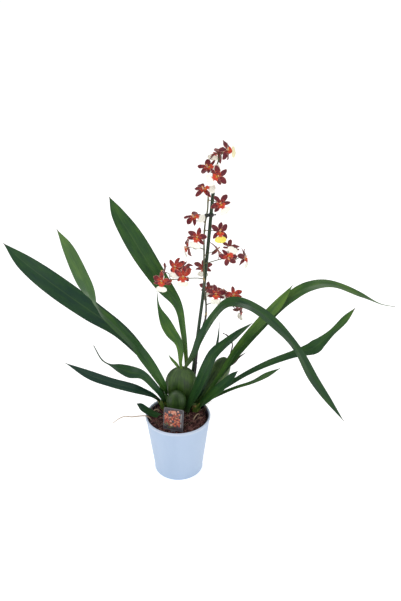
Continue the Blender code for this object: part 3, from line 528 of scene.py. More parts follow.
def makeBark():
    draw = random.Random(barkSet["seed"])
    pile = newPile()
    addPlug(pile)
    tip = barkSet["chipTip"]
    for k in range(barkSet["chips"]):
        radius = (barkSet["reach"] - 2.5) * math.sqrt((k + 0.5) / barkSet["chips"])
        x, y = polar(radius, k * math.radians(barkSet["spiralDegrees"]) + draw.uniform(-0.2, 0.2))
        long = draw.uniform(*barkSet["chipLength"])
        size = (long, long * draw.uniform(0.35, 0.7), draw.uniform(*barkSet["chipThick"]))
        room = barkSet["reach"] - long / 2
        if math.hypot(x, y) > room:
            x, y = x * room / radius, y * room / radius
        place = (x, y, bedHeight(x, y) + draw.uniform(0.0, 2.2))
        turn, tips = draw.uniform(*anyTurn), (draw.uniform(-tip, tip), draw.uniform(-tip, tip))
        addChip(pile, place, size, turn, tips, draw, draw.uniform(0.15, 0.85) ** 1.1)
    dress(pileToObject(pile, "barkBed", [barkLook("barkChips")], 35), "bark", "bark_mix")
    crumbs = newPile()
    cube = [(x, y, z) for z in (-1, 1) for x, y in ((-1, -1), (1, -1), (1, 1), (-1, 1))]
    cubeFaces = [(0, 3, 2, 1), (4, 5, 6, 7), (0, 1, 5, 4), (1, 2, 6, 5), (2, 3, 7, 6), (3, 0, 4, 7)]
    for k in range(barkSet["crumbs"]):
        radius = (barkSet["reach"] - 2) * math.sqrt(draw.random())
        x, y = polar(radius, draw.uniform(*anyTurn))
        long = draw.uniform(*barkSet["crumbLength"])
        size = np.array([long, long * draw.uniform(0.3, 0.8), long * draw.uniform(0.2, 0.5)]) / 2
        shape = np.array([[c * draw.uniform(0.6, 1.1) for c in corner] for corner in cube]) * size
        turn = draw.uniform(*anyTurn)
        turned = np.array(Matrix.Rotation(turn, 3, (draw.uniform(-1, 1), draw.uniform(-1, 1), 1)))
        place = np.array([x, y, bedHeight(x, y) + draw.uniform(1.0, 3.2)])
        addTo(crumbs, (shape @ turned.T + place) * mm, cubeFaces, tone=draw.uniform(0.1, 1.0))
    dress(pileToObject(crumbs, "barkCrumbs", [barkLook("barkCrumb", 0.03)], 30), "bark")


strayCurls = [
    [(52, 16, 116), (57, 12, 133), (63, 8, 146), (67, 4, 150), (66, 0, 145), (62, -1, 141)],
    [(50, 22, 116), (55, 19, 130), (59, 15, 138), (63, 12, 141)],
    [(-49, 22, 116), (-53, 22, 133), (-54, 20, 143), (-50, 18, 149), (-45, 17, 147)],
    [(-44, 32, 116), (-47, 31, 134), (-45, 29, 144), (-39, 28, 146)],
    [(30, -14, 116), (36, -18, 124), (43, -16, 128), (48, -10, 122)],
]


def makeFibres():
    draw = random.Random(barkSet["seed"] + 1)
    pile = newPile()
    for _ in range(barkSet["fibres"]):
        radius = (barkSet["reach"] - 4) * math.sqrt(draw.random())
        x, y = polar(radius, draw.uniform(*anyTurn))
        heading, bend = draw.uniform(*anyTurn), draw.uniform(-0.35, 0.35)
        steps, stride = draw.randint(8, 18), draw.uniform(0.9, 1.9)
        path, lift = [], draw.uniform(1.0, 3.0)
        for step in range(steps):
            if math.hypot(x, y) > barkSet["reach"] - 1:
                break
            hump = lift * math.sin(math.pi * step / steps)
            path.append((x * mm, y * mm, (bedHeight(x, y) + 0.9 + hump) * mm))
            x, y = x + stride * math.cos(heading), y + stride * math.sin(heading)
            heading += bend + draw.uniform(-0.3, 0.3)
        if len(path) > 3:
            width = draw.uniform(0.09, 0.24) * mm
            addTube(pile, path, width * np.linspace(1, 0.6, len(path)), 4, 0, draw.uniform(0.1, 1.0) ** 1.3)
    # a few dry root tips curl up over the rim
    for route in strayCurls:
        run = splineRun(route, 24)
        addTube(pile, run * mm, np.linspace(0.34, 0.18, 24) * mm, 5, 0, 0.75)
    dress(pileToObject(pile, "barkFibres", [fibreLook()], 80), "root_tan")


makeBark()
makeFibres()
print("bark done")


# Leaves. Each route is the blade's middle line from foot to tip in mm, with its width and roll in degrees.
# tone is the green from deep blue-green (0) to yellow-green (1) at foot, middle and tip, partly the leaf's
# own green and partly painted light and shade, low for leaves and stretches in shade and high for lit ones;
# waves is the ripple of the edge in mm; stub is how long its foot in the fan is.

leafTable = {
    "leaf_left_long": dict(stub=32, tone=(0.3, 0.15, 0.3), waves=0.9, route=[
        (-24, 47, 120, 13, -20), (-51, 53, 201, 20, -25), (-103, 61, 272, 30, -38),
        (-164, 70, 319, 41, -45), (-224, 81, 364, 44, -47), (-283, 97, 409, 31, -50),
        (-321, 108, 445, 0, -50)]),
    "leaf_left_upper": dict(stub=26, tone=(0.65, 0.5, 0.95), waves=0.5, route=[
        (-21, 29, 121, 15, -60), (-32, 18, 187, 18, -55), (-71, 27, 253, 23, -38), (-115, 19, 315, 23, -32),
        (-144, 13, 354, 22, -6), (-162, 8, 405, 27, 70), (-183, 1, 473, 20, 85), (-200, -2, 513, 0, 85)]),
    "leaf_left_middle": dict(stub=24, tone=(0.45, 0.3, 0.2), waves=0.5, route=[
        (-25, 21, 121, 12, -75), (-33, 12, 162, 13, -75), (-45, 5, 188, 14, -65), (-66, 1, 216, 17, -45),
        (-91, 3, 222, 26, -30), (-111, 3, 231, 20, -20), (-128, 4, 239, 6, 0), (-142, 6, 250, 4, 0),
        (-155, 11, 277, 2, 0)]),
    "leaf_left_low": dict(stub=22, tone=(0.15, -0.05, 0.0), waves=0.6, route=[
        (-30, 34, 122, 9, -30), (-47, 30, 146, 11, -35), (-62, 27, 158, 14, -40), (-86, 21, 173, 18, -45),
        (-129, 24, 186, 18, -50), (-170, 29, 201, 17, -45), (-216, 39, 223, 0, -30)]),
    "leaf_rim_small": dict(stub=0, tone=(0.3, 0.2, 0.15), waves=0.3, route=[
        (-30, 10, 110, 10, -30), (-53, 2, 128, 15, -35), (-71, -5, 147, 16, -35), (-79, -9, 158, 0, -30)]),
    "leaf_back_tall": dict(stub=14, tone=(0.85, 0.5, 0.5), waves=0.9, route=[
        (17, 39, 212, 12, -60), (12, 40, 290, 12, -55), (3, 44, 341, 17, -45), (-24, 56, 378, 33, -35),
        (-52, 70, 419, 41, -30), (-83, 88, 468, 40, -28), (-104, 101, 501, 27, -25),
        (-119, 113, 531, 0, -20)]),
    "leaf_back_short": dict(stub=12, tone=(0.85, 0.65, 0.4), waves=0.4, route=[
        (8, 28, 212, 8, -60), (5, 30, 263, 14, -60), (-11, 37, 288, 22, -50), (-22, 44, 308, 20, -40),
        (-33, 54, 335, 5, -30), (-36, 68, 366, 0, -20)]),
    "leaf_back_bract": dict(stub=8, tone=(1.1, 1.1, 1.0), waves=0.1, route=[
        (3, 32, 208, 6, 50), (-2, 29, 221, 7, 50), (-9, 25, 233, 6, 50), (-16, 20, 248, 0, 50)]),
    "leaf_arch_front": dict(stub=14, tone=(0.35, 0.35, 0.3), waves=0.5, route=[
        (16, 29, 211, 9, 60), (36, 19, 250, 20, 60), (47, 13, 289, 22, 57), (70, 0, 342, 21, 40),
        (96, -13, 374, 22, 36), (133, -34, 374, 27, 4), (174, -55, 348, 29, 6), (210, -75, 310, 25, -5),
        (241, -99, 258, 25, 4), (290, -135, 198, 0, 10)]),
    "leaf_arch_back": dict(stub=34, tone=(0.5, 0.6, 0.75), waves=0.5, route=[
        (32, 32, 120, 9, 45), (70, 34, 168, 9, 45), (114, 38, 229, 9, 40), (154, 42, 280, 11, 35),
        (185, 45, 320, 18, 30), (214, 48, 350, 26, 22), (250, 53, 370, 27, 14), (294, 60, 371, 25, 12),
        (353, 69, 344, 15, 20), (396, 76, 320, 4, 10), (429, 81, 310, 2, 0)]),
    "leaf_right_bright": dict(stub=30, tone=(0.7, 0.7, 0.95), waves=0.4, route=[
        (38, 22, 121, 8, 40), (79, 22, 192, 9, 42), (113, 24, 255, 12, 45), (154, 27, 307, 17, 50),
        (190, 34, 344, 19, 45), (216, 39, 381, 0, 40)]),
    "leaf_right_wide": dict(stub=30, tone=(0.6, 0.3, 0.65), waves=0.4, route=[
        (31, 27, 120, 10, 20), (88, 32, 160, 11, 20), (132, 31, 193, 11, 30), (176, 27, 220, 13, 35),
        (216, 20, 241, 16, 35), (241, 12, 255, 21, 40), (258, 4, 267, 28, 45), (271, 1, 281, 21, 50),
        (287, -5, 304, 14, 50), (306, -14, 335, 15, 50), (321, -21, 363, 0, 50)]),
    "leaf_right_low": dict(stub=26, tone=(0.6, 0.55, 0.55), waves=0.3, route=[
        (37, 29, 120, 9, 10), (79, 35, 143, 8, 15), (114, 38, 158, 7, 25), (148, 40, 169, 7, 40),
        (177, 41, 185, 10, 55), (203, 41, 200, 0, 60)]),
    "leaf_front_broad": dict(stub=0, tone=(0.45, 0.3, 0.4), waves=0.5, route=[
        (18, 13, 110, 18, 20), (32, 11, 154, 26, 28), (44, 9, 192, 31, 35), (57, 6, 228, 28, 45),
        (69, 3, 258, 24, 45), (89, -2, 282, 21, 35), (112, -8, 306, 17, 25), (138, -15, 333, 0, 20)]),
    "leaf_thin_upright": dict(stub=24, tone=(0.4, 0.2, 0.1), waves=0.1, route=[
        (34, 34, 120, 6, 60), (60, 41, 182, 6, 75), (77, 43, 254, 5, 90), (82, 44, 303, 0, 90)]),
    "leaf_dry_bract": dict(stub=12, tone=(0.5, 0.3, 0.1), waves=0.4, route=[
        (98, 64, 188, 6, 20), (115, 62, 203, 6, 20), (124, 60, 216, 5, 20), (138, 57, 229, 0, 20)]),
    "leaf_right_short": dict(stub=22, tone=(0.6, 0.45, 0.1), waves=0.5, route=[
        (35, 18, 120, 13, 30), (59, 10, 154, 19, 40), (85, 2, 186, 19, 50), (104, -4, 211, 15, 50),
        (114, -9, 227, 0, 50)]),
}
bladeSet = {"thick": 0.8, "baseThick": 2.2, "tipWidth": 0.9, "footFold": 50, "bladeFold": 8, "opened": 0.3,
            "rowLength": 4.0, "acrossSteps": 14, "keel": 0.5, "keelWidth": 0.14, "rippleRun": 17.0,
            "footRun": 16.0}


def leafLook(name="leafSkin", dry=False):
    look = Look(name, 0.4, 0.22)
    grain = look.carried("grain")
    across, along, side = look.marks()
    veins = look.streaks(grain, (1.5, 0.03, 1), 3.0, 0.6)
    fineVeins = look.streaks(grain, (4.5, 0.05, 1), 2.0)
    cloud = look.streaks(grain, (0.09, 0.025, 1), 4.0)
    shade = look.add(look.carried("tone"), look.span(cloud, 0.25, 0.75, -0.16, 0.16))
    shade = look.add(shade, look.span(veins, 0.3, 0.7, -0.1, 0.1))
    shade = look.add(shade, look.span(fineVeins, 0.3, 0.7, -0.04, 0.04))
    if dry:
        colour = look.ramp(shade, (0.1, (0.02, 0.012, 0.008)), (0.5, (0.09, 0.055, 0.03)),
                           (0.9, (0.2, 0.14, 0.08)))
        look.feed("Roughness", look.span(cloud, 0.3, 0.7, 0.7, 0.9))
    else:
        colour = look.ramp(shade, (0.0, (0.011, 0.04, 0.026)), (0.3, (0.018, 0.062, 0.02)),
                           (0.6, (0.034, 0.1, 0.018)), (1.0, (0.1, 0.2, 0.024)))
        # midrib, edge, paler underside, foot and dry tip
        edge = look.math("ABSOLUTE", across)
        colour = look.tint(colour, (0.09, 0.16, 0.05), edge, 0.0, 0.07, 0.3, 0.0)
        colour = look.tint(colour, (0.012, 0.03, 0.008), edge, 0.9, 1.0, 0.0, 0.45)
        colour = look.tint(colour, (0.06, 0.115, 0.055), side, -0.2, 0.2, 0.35, 0.0)
        colour = look.tint(colour, (0.12, 0.17, 0.05), along, 0.0, 0.1, 0.5, 0.0)
        nearTip = look.add(along, look.span(cloud, 0.2, 0.8, -0.012, 0.012))
        colour = look.tint(colour, (0.07, 0.045, 0.02), nearTip, 0.975, 1.0, 0.0, 0.75)
        look.feed("Roughness", look.span(cloud, 0.3, 0.7, 0.3, 0.44))
        look.fix("Coat Weight", 0.05)
        look.fix("Coat Roughness", 0.3)
    look.paint(colour)
    look.bump(look.add(veins, fineVeins, 0.5), 0.0002, 0.7)
    return look.skin


def addBlade(pile, leaf, start, seed):
    # one closed blade: ribs across it, softly folded along the middle
    run = splineRun(leaf["route"], 40 * len(leaf["route"]))
    reaches = reachAlong(run[:, :3])
    length = reaches[-1]
    rows = max(14, round(length / bladeSet["rowLength"]))
    sheet = newSheet(bladeSet["acrossSteps"])
    t, tones = sheet["t"], []

    def routeAt(reach):
        return np.array([np.interp(clamp(reach, 0, length), reaches, run[:, k]) for k in range(5)])

    for row in range(rows + 1):
        reach = start + (length - start) * row / rows
        share = max(reach / length, 0)
        here, ahead, behind = routeAt(reach), routeAt(reach + 2), routeAt(reach - 2)
        along = (ahead - behind)[:3]
        along /= np.linalg.norm(along)
        flat = np.array([-along[1], along[0], 0]) / math.hypot(along[0], along[1])
        centre = here[:3] + along * min(reach, 0)
        lifted = np.cross(along, flat)
        roll = math.radians(here[4])
        side = flat * math.cos(roll) + lifted * math.sin(roll)
        face = lifted * math.cos(roll) - flat * math.sin(roll)
        half = max(here[3], bladeSet["tipWidth"]) / 2
        opened = float(smoothStep(share / bladeSet["opened"]))
        fold = bladeSet["bladeFold"] + (bladeSet["footFold"] - bladeSet["bladeFold"]) * (1 - opened)
        fold = math.radians(fold)
        lift = np.sqrt(t ** 2 + 0.0064) - 0.08 + 0.05 * np.sin(math.pi * np.abs(t))
        ripple = np.sin(reach / bladeSet["rippleRun"] + seed + 1.7 * np.sign(t))
        ripple = leaf["waves"] * opened * np.abs(t) ** 2.2 * ripple
        out = centre + (half * t * math.cos(fold))[:, None] * side
        up = half * lift * math.sin(fold) + ripple * min(half / 8, 1)
        footShare = 1 - float(smoothStep(reach / (leaf["stub"] + bladeSet["footRun"])))
        thick = bladeSet["thick"] + (bladeSet["baseThick"] - bladeSet["thick"]) * footShare
        body = thick * min(1, half / 2.5) / 2 * (1 - 0.55 * t ** 2)
        keel = bladeSet["keel"] * np.exp(-(t / bladeSet["keelWidth"]) ** 2) * min(half / 10, 1)
        top = out + (up + body)[:, None] * face
        under = out + (up - body - keel)[:, None] * face
        addSection(sheet, top, under, share, half, reach, seed * 9, seed * 9 + 40)
        # the leaf's tone along its length, with its painted light and shade
        tones += [throughThree(share, *leaf["tone"])] * (2 * len(t))
    addSheet(pile, sheet, tones)


def makeLeaves():
    green, dryLook = leafLook(), leafLook("dryLeafSkin", dry=True)
    for k, (name, leaf) in enumerate(leafTable.items()):
        pile = newPile()
        start = -4 if leaf["stub"] or "bract" in name else 0
        addBlade(pile, leaf, start, 1.3 * k + 0.4)
        blade = pileToObject(pile, "blade_" + name[5:], [dryLook if name == "leaf_dry_bract" else green], 60)
        dress(blade, "leaf_green", name)


makeLeaves()
print("leaves done")


# Pseudobulbs

bulbTable = {
    "pseudobulb_main": dict(
        foot=(4, 32.5, 103), tip=(9, 32.5, 213), width=62, depth=24, ribs=8, neck=0.34, tone=0.4),
    "pseudobulb_front": dict(
        foot=(-2, 9, 103), tip=(-3, 8, 174), width=39, depth=22, ribs=6, neck=0.36, tone=0.3),
    "pseudobulb_rear": dict(
        foot=(32.2, 41.4, 103), tip=(92, 62, 214), width=42, depth=26, ribs=7, neck=0.2, tone=0.45),
}
bulbSet = {"sides": 84, "neckEnd": 0.2, "widest": 0.62, "groove": 0.045, "wander": 0.012}


def bulbLook():
    look = Look("bulbSkin", 0.4, 0.5)
    grain = look.carried("grain")
    rib, along = look.marks()[:2]
    streak = look.streaks(grain, (0.75, 0.03, 0.03), 4.0, 0.6)
    cloud = look.noise(grain, 0.05, 4.0)
    shade = look.add(look.carried("tone"), look.span(streak, 0.3, 0.7, -0.2, 0.2))
    shade = look.add(shade, look.span(cloud, 0.3, 0.7, -0.18, 0.18))
    # painted shade in the grooves between the ribs, and a little painted light on the crests
    shade = look.add(shade, look.span(rib, 0.0, 1.0, -0.07, 0.05))
    colour = look.ramp(shade, (0.0, (0.01, 0.03, 0.005)), (0.35, (0.024, 0.062, 0.009)),
                       (0.65, (0.055, 0.115, 0.016)), (1.0, (0.15, 0.22, 0.035)))
    look.paint(look.tint(colour, (0.05, 0.045, 0.02), along, 0.12, 0.4, 0.75, 0.0))
    look.feed("Roughness", look.span(cloud, 0.3, 0.7, 0.34, 0.5))
    look.bump(look.add(streak, cloud, 0.5), 0.0004, 0.6)
    return look.skin


def bulbSwell(share, neck):
    neckEnd, widest = bulbSet["neckEnd"], bulbSet["widest"]
    if share <= neckEnd:
        return neck
    if share <= widest:
        return neck + (1 - neck) * math.sin(math.pi / 2 * (share - neckEnd) / (widest - neckEnd))
    return math.sqrt(max(1 - (0.985 * (share - widest) / (1 - widest)) ** 2.4, 0))


def bulbAxis(bulb, share):
    foot, tip = np.array(bulb["foot"], float), np.array(bulb["tip"], float)
    lean = share
    if np.linalg.norm((tip - foot)[:2]) > 20:
        lean = math.sin(math.pi / 2 * max(share - 0.2, 0) / 0.8)
    return np.array([*(foot + (tip - foot) * lean)[:2], foot[2] + (tip[2] - foot[2]) * share])


def bulbFrame(bulb, share):
    up = bulbAxis(bulb, share + 0.02) - bulbAxis(bulb, share - 0.02)
    up /= np.linalg.norm(up)
    across = np.cross((0, 1, 0), up)
    across /= np.linalg.norm(across)
    return bulbAxis(bulb, share), across, np.cross(up, across), up


def addBulb(pile, bulb, seed):
    sides, widest = bulbSet["sides"], bulbSet["widest"]
    turns = turnsOf(sides)
    shares = list(np.linspace(0, widest, 28))
    shares += [widest + 0.38 * math.sin(math.pi / 2 * k / 24) for k in range(1, 25)]
    crest = 0.5 + 0.5 * np.cos(bulb["ribs"] * turns)
    rings, marks = [], []
    for share in shares:
        centre, across, deep, up = bulbFrame(bulb, share)
        swell = bulbSwell(share, bulb["neck"]) / 2
        deepen = float(smoothStep((share - bulbSet["neckEnd"]) / 0.2)) * (1 - 0.5 * share ** 4)
        deepen = bulbSet["groove"] * deepen
        height = share * 2.5 + seed
        wander = np.array([noise.noise(Vector((math.cos(a) * 2, math.sin(a) * 2, height))) for a in turns])
        rib = 1 - deepen * (1 - crest ** 0.6) + bulbSet["wander"] * wander
        rings.append(centre + (swell * rib * bulb["width"] * np.cos(turns))[:, None] * across
                     + (swell * rib * bulb["depth"] * np.sin(turns))[:, None] * deep)
        marks.append(np.stack([crest, np.full(sides, share), np.zeros(sides)], 1))
    # round off the top
    centre, across, deep, up = bulbFrame(bulb, 1)
    last = rings[-1] - centre
    for shrink, rise in ((0.85, 0.5), (0.5, 1.0)):
        rings.append(centre + last * shrink + up * rise)
        marks.append(marks[-1])
    rings = np.array(rings)
    # grain runs from foot to top: round the bulb, then up it
    grain = np.zeros_like(rings)
    grain[:, :, 0] = bulb["width"] / 2 * turns + seed * 30
    grain[:, :, 1] = rings[:, :, 2]
    grain[:, :, 2] = rings[:, :, 1]
    addRings(pile, rings * mm, 0, marks, grain, bulb["tone"])


def makeBulbs():
    skin = bulbLook()
    for k, (name, bulb) in enumerate(bulbTable.items()):
        pile = newPile()
        addBulb(pile, bulb, k + 0.5)
        dress(pileToObject(pile, "bulb_" + name[11:], [skin], 60), "bulb_green", name)


makeBulbs()
print("pseudobulbs done")


# Leaf fans' feet: a crown, folded green bases round it and dry papery scales.
# Each scale: side of the crown in degrees, height, lean, width, and 0 for green to 1 for dry.

scaleSet = {"rows": 13, "steps": 8, "halfThick": 0.25, "sunk": 3, "curl": 0.42}
fanTable = {
    "sheaths_left": dict(crown=(-24, 34.5, 116), radius=10.5, stretch=1.36, half=15, scales=[
        (170, 26, 16, 15, 0.2), (205, 30, 18, 14, 0.1), (240, 36, 14, 15, 0.0), (265, 32, 10, 14, 0.05),
        (290, 28, 6, 13, 0.3), (320, 20, 4, 10, 1.0), (350, 24, 4, 12, 0.6), (225, 15, 28, 8, 1.0),
        (252, 13, 24, 7, 0.95), (280, 15, 20, 8, 1.0), (300, 12, 16, 7, 0.9)]),
    "sheaths_right": dict(crown=(34.5, 26, 116), radius=9.5, stretch=1.36, half=15, scales=[
        (200, 24, 6, 12, 0.3), (265, 26, 10, 14, 0.15), (300, 30, 12, 13, 0.1), (335, 24, 16, 12, 0.35),
        (235, 18, 8, 10, 0.8), (10, 22, 14, 11, 0.2)]),
}


def sheathLook():
    look = Look("sheathSkin", 0.6, 0.3)
    grain = look.carried("grain")
    along = look.marks()[1]
    streak = look.streaks(grain, (1.6, 0.06, 1), 4.0, 0.6)
    green = look.ramp(streak, (0.25, (0.03, 0.065, 0.01)), (0.55, (0.09, 0.16, 0.02)),
                      (0.8, (0.24, 0.3, 0.06)))
    dry = look.ramp(streak, (0.2, (0.09, 0.035, 0.012)), (0.5, (0.3, 0.16, 0.06)), (0.8, (0.55, 0.38, 0.2)))
    cloud = look.noise(grain, 0.16, 4.0, 0.6)
    dryness = look.add(look.carried("tone"), look.span(cloud, 0.3, 0.7, -0.35, 0.35))
    dryness = look.add(dryness, look.span(along, 0.6, 1.0, 0.0, 0.4))
    look.paint(look.tint(green, dry, dryness, 0.35, 0.65))
    look.bump(streak, 0.0003, 0.8)
    return look.skin


def addScale(pile, fan, heading, height, lean, width, dry, seed):
    a = math.radians(heading)
    out, side = np.array([math.cos(a), math.sin(a), 0]), np.array([-math.sin(a), math.cos(a), 0])
    sheet = newSheet(scaleSet["steps"])
    t = sheet["t"]
    for row in range(scaleSet["rows"]):
        share = row / (scaleSet["rows"] - 1)
        spread = fan["radius"] * 0.9 + math.tan(math.radians(lean)) * height * share ** 1.5
        shift = [out[0] * spread, fan["stretch"] * out[1] * spread, height * share - scaleSet["sunk"]]
        base = np.array(fan["crown"], float) + np.array(shift)
        half = width / 2 * math.sqrt(max(1 - 0.97 * share ** 1.6, 0.002))
        curl = half * scaleSet["curl"] * t ** 2 + 0.35 * np.sin(3 * t + seed + 4 * share)
        skin = base + (half * t)[:, None] * side - curl[:, None] * out
        shell = scaleSet["halfThick"] * out
        addSection(sheet, skin + shell, skin - shell, share, half, share * height, seed * 7)
    addSheet(pile, sheet, dry)


def makeFans():
    skin = sheathLook()
    for name, fan in fanTable.items():
        pile = newPile()
        crown = ballPoints * np.array([fan["radius"], fan["radius"] * fan["stretch"], fan["half"]]) * 0.97
        addTo(pile, (crown + np.array(fan["crown"])) * mm, ballFaces, 0, tone=0.3)
        for k, (heading, height, lean, width, dry) in enumerate(fan["scales"]):
            addScale(pile, fan, heading, height, lean, width, dry, k + len(name) * 0.37)
        dress(pileToObject(pile, "fanFoot_" + name[8:], [skin], 60), "sheath_green", name)


makeFans()
print("leaf fans' feet done")


# Flower spike: the same routes as the solids, in mm

spikeRoute = [
    (24, 38, 104), (29, 42, 150), (35, 43, 191), (40, 43, 248), (46, 43, 277), (51, 42, 299), (55, 42, 314),
    (56, 42, 341), (53, 42, 373), (52, 42, 414), (52, 43, 449), (52, 44, 476), (54, 45, 503), (58, 45, 527),
    (59, 43, 550), (61, 41, 560), (66, 38, 572), (67, 35, 595), (71, 33, 606), (74, 31, 613),
]
branchRoutes = {
    "left_low": [(52, 42, 395), (40, 38, 399), (20, 33, 401), (-8, 28, 401)],
    "right_low": [(56, 42, 342), (68, 36, 349), (82, 31, 352), (105, 29, 345)],
    "left_mid": [(52, 43, 453), (45, 38, 458), (37, 34, 458)],
    "right_mid": [(52, 42, 426), (60, 37, 430), (89, 32, 440), (107, 31, 438)],
}
stickRoute = [(20, 48.5, 104), (43, 49, 295), (53, 49, 384), (68, 49, 559)]
spikeSet = {
    "footRadius": 2.1, "tipRadius": 1.1, "branchRadius": 0.9, "stalkRadius": 0.75, "stickRadius": 3.1,
    "clipHeight": 517, "bloomBack": 6, "bigBracts": 6,
    "nodeHeights": (150, 205, 262, 318, 352, 388, 426, 453, 488, 512, 543, 572, 594),
}

# Each bloom: heart in mm, its stem with the height or share where the stalk leaves, heading, tilt and turn
# of its face, then how red (0 maroon, 1 orange-red) and how yellow the lip is (0 cream, 1 yellow).
bloomTable = {
    "bloom_01": ((89, 22, 640), ("spike", 611), (-40, 25, 60), 0.3, 0.5),
    "bloom_02": ((75, 38, 631), ("spike", 608), (95, 30, 30), 0.1, 0.3),
    "bloom_03": ((57, 25, 610), ("spike", 594), (262, 60, 80), 0.5, 0.05),
    "bloom_04": ((73, 3, 601), ("spike", 598), (258, 5, -60), 0.45, 0.2),
    "bloom_05": ((50, 20, 574), ("spike", 552), (262, 66, 85), 0.55, 0.05),
    "bloom_06": ((79, 18, 548), ("spike", 543), (278, 15, 30), 0.45, 0.05),
    "bloom_07": ((33, 30, 520), ("spike", 503), (262, 64, 75), 0.4, 0.05),
    "bloom_08": ((79, 16, 498), ("spike", 488), (272, 25, 0), 0.2, 1.0),
    "bloom_09": ((39, 18, 487), ("spike", 478), (255, 15, -15), 0.5, 0.05),
    "bloom_10": ((21, 32, 462), ("left_mid", 1.0), (195, 0, -30), 0.45, 0.1),
    "bloom_11": ((77, 48, 451), ("spike", 438), (20, 20, 0), 0.3, 0.3),
    "bloom_12": ((99, 44, 457), ("right_mid", 0.75), (60, 20, 0), 0.2, 0.2),
    "bloom_13": ((94, 10, 451), ("right_mid", 0.85), (280, 5, 150), 0.5, 0.1),
    "bloom_14": ((125, 34, 441), ("right_mid", 1.0), (335, 10, 0), 0.1, 0.2),
    "bloom_15": ((51, 66, 409), ("spike", 400), (80, 0, 0), 0.4, 0.2),
    "bloom_16": ((14, 44, 420), ("left_low", 0.6), (110, 25, 0), 0.1, 0.2),
    "bloom_17": ((0, 20, 430), ("left_low", 0.8), (245, 20, 0), 0.8, 0.2),
    "bloom_18": ((-21, 36, 413), ("left_low", 1.0), (170, 10, 0), 0.2, 0.3),
    "bloom_19": ((-25, 12, 406), ("left_low", 0.95), (250, 10, 0), 0.7, 0.2),
    "bloom_20": ((13, 1, 420), ("left_low", 0.7), (270, 0, 0), 0.8, 0.3),
    "bloom_21": ((60, 62, 366), ("spike", 352), (70, 10, 0), 0.3, 0.2),
    "bloom_22": ((73, 14, 378), ("right_low", 0.35), (260, 10, 0), 0.4, 0.2),
    "bloom_23": ((87, 40, 370), ("right_low", 0.6), (60, 20, 0), 0.4, 0.2),
    "bloom_24": ((104, 16, 375), ("right_low", 0.85), (290, 10, 0), 0.8, 0.2),
    "bloom_25": ((119, 34, 335), ("right_low", 1.0), (20, 0, 0), 0.3, 0.2),
}


def stemLook():
    look = Look("stemSkin", 0.42, 0.5)
    streak = look.streaks(look.carried("grain"), (1.2, 0.05, 1.2), 4.0)
    height = look.add(look.parts(look.place())[2], look.span(streak, 0.2, 0.8, -0.05, 0.05))
    colour = look.ramp(look.span(height, 0.26, 0.42), (0.0, (0.012, 0.006, 0.012)),
                       (0.5, (0.03, 0.028, 0.016)), (1.0, (0.07, 0.085, 0.03)))
    colour = look.tint(colour, (0.22, 0.2, 0.07), look.carried("tone"), 0.5, 1.0)
    look.paint(look.tint(colour, (0.05, 0.02, 0.02), streak, 0.55, 0.75, 0.0, 0.5))
    look.bump(streak, 0.0002, 0.6)
    return look.skin


def bractLook():
    return streakyLook("bractPaper", 0.75, 0.25, (1.5, 0.15, 1.5), 4.0, 0.5, (0.0002, 0.7),
                       (0.25, (0.16, 0.1, 0.04)), (0.5, (0.38, 0.27, 0.12)), (0.8, (0.6, 0.48, 0.28)))


def bloomFrame(heart, heading, tilt, turn):
    heading, tilt = math.radians(heading), math.radians(tilt)
    facing = Vector((math.cos(heading) * math.cos(tilt), math.sin(heading) * math.cos(tilt), math.sin(tilt)))
    upper = (Vector((0, 0, 1)) - facing * facing.z).normalized()
    right = upper.cross(facing)
    turned = Matrix.Rotation(math.radians(turn), 3, facing)
    basis = Matrix((turned @ right, turned @ upper, facing)).transposed()
    return Vector(heart) - facing * spikeSet["bloomBack"], basis


def carrierPoint(carrier, place):
    path = splineRun(spikeRoute if carrier == "spike" else branchRoutes[carrier], 101)
    if carrier == "spike":
        k = min(range(100), key=lambda i: abs(path[i][2] - place))
    else:
        k = min(int(place * 100), 99)
    along = path[k + 1] - path[k]
    return path[k], along / np.linalg.norm(along)


def addBract(pile, place, along, out, size, look, seed):
    # a small pointed scale that clasps the stem
    along, out = along / np.linalg.norm(along), out / np.linalg.norm(out)
    side = np.cross(along, out)
    t = np.linspace(-1, 1, 7)
    length, width = size
    rings = []
    for share in np.arange(8) / 7:
        half = width / 2 * math.sqrt(max(1 - share ** 1.5, 0.004))
        stand = 1.2 + 1.8 * share ** 1.6
        skin = place + along * (length * share - 0.5) + out * stand + (half * t)[:, None] * side
        skin = skin - (0.55 * half * t ** 2)[:, None] * out
        rings.append(np.concatenate([skin + 0.12 * out, (skin - 0.12 * out)[::-1]]))
    rings = np.array(rings)
    addRings(pile, rings * mm, look, None, rings + seed)


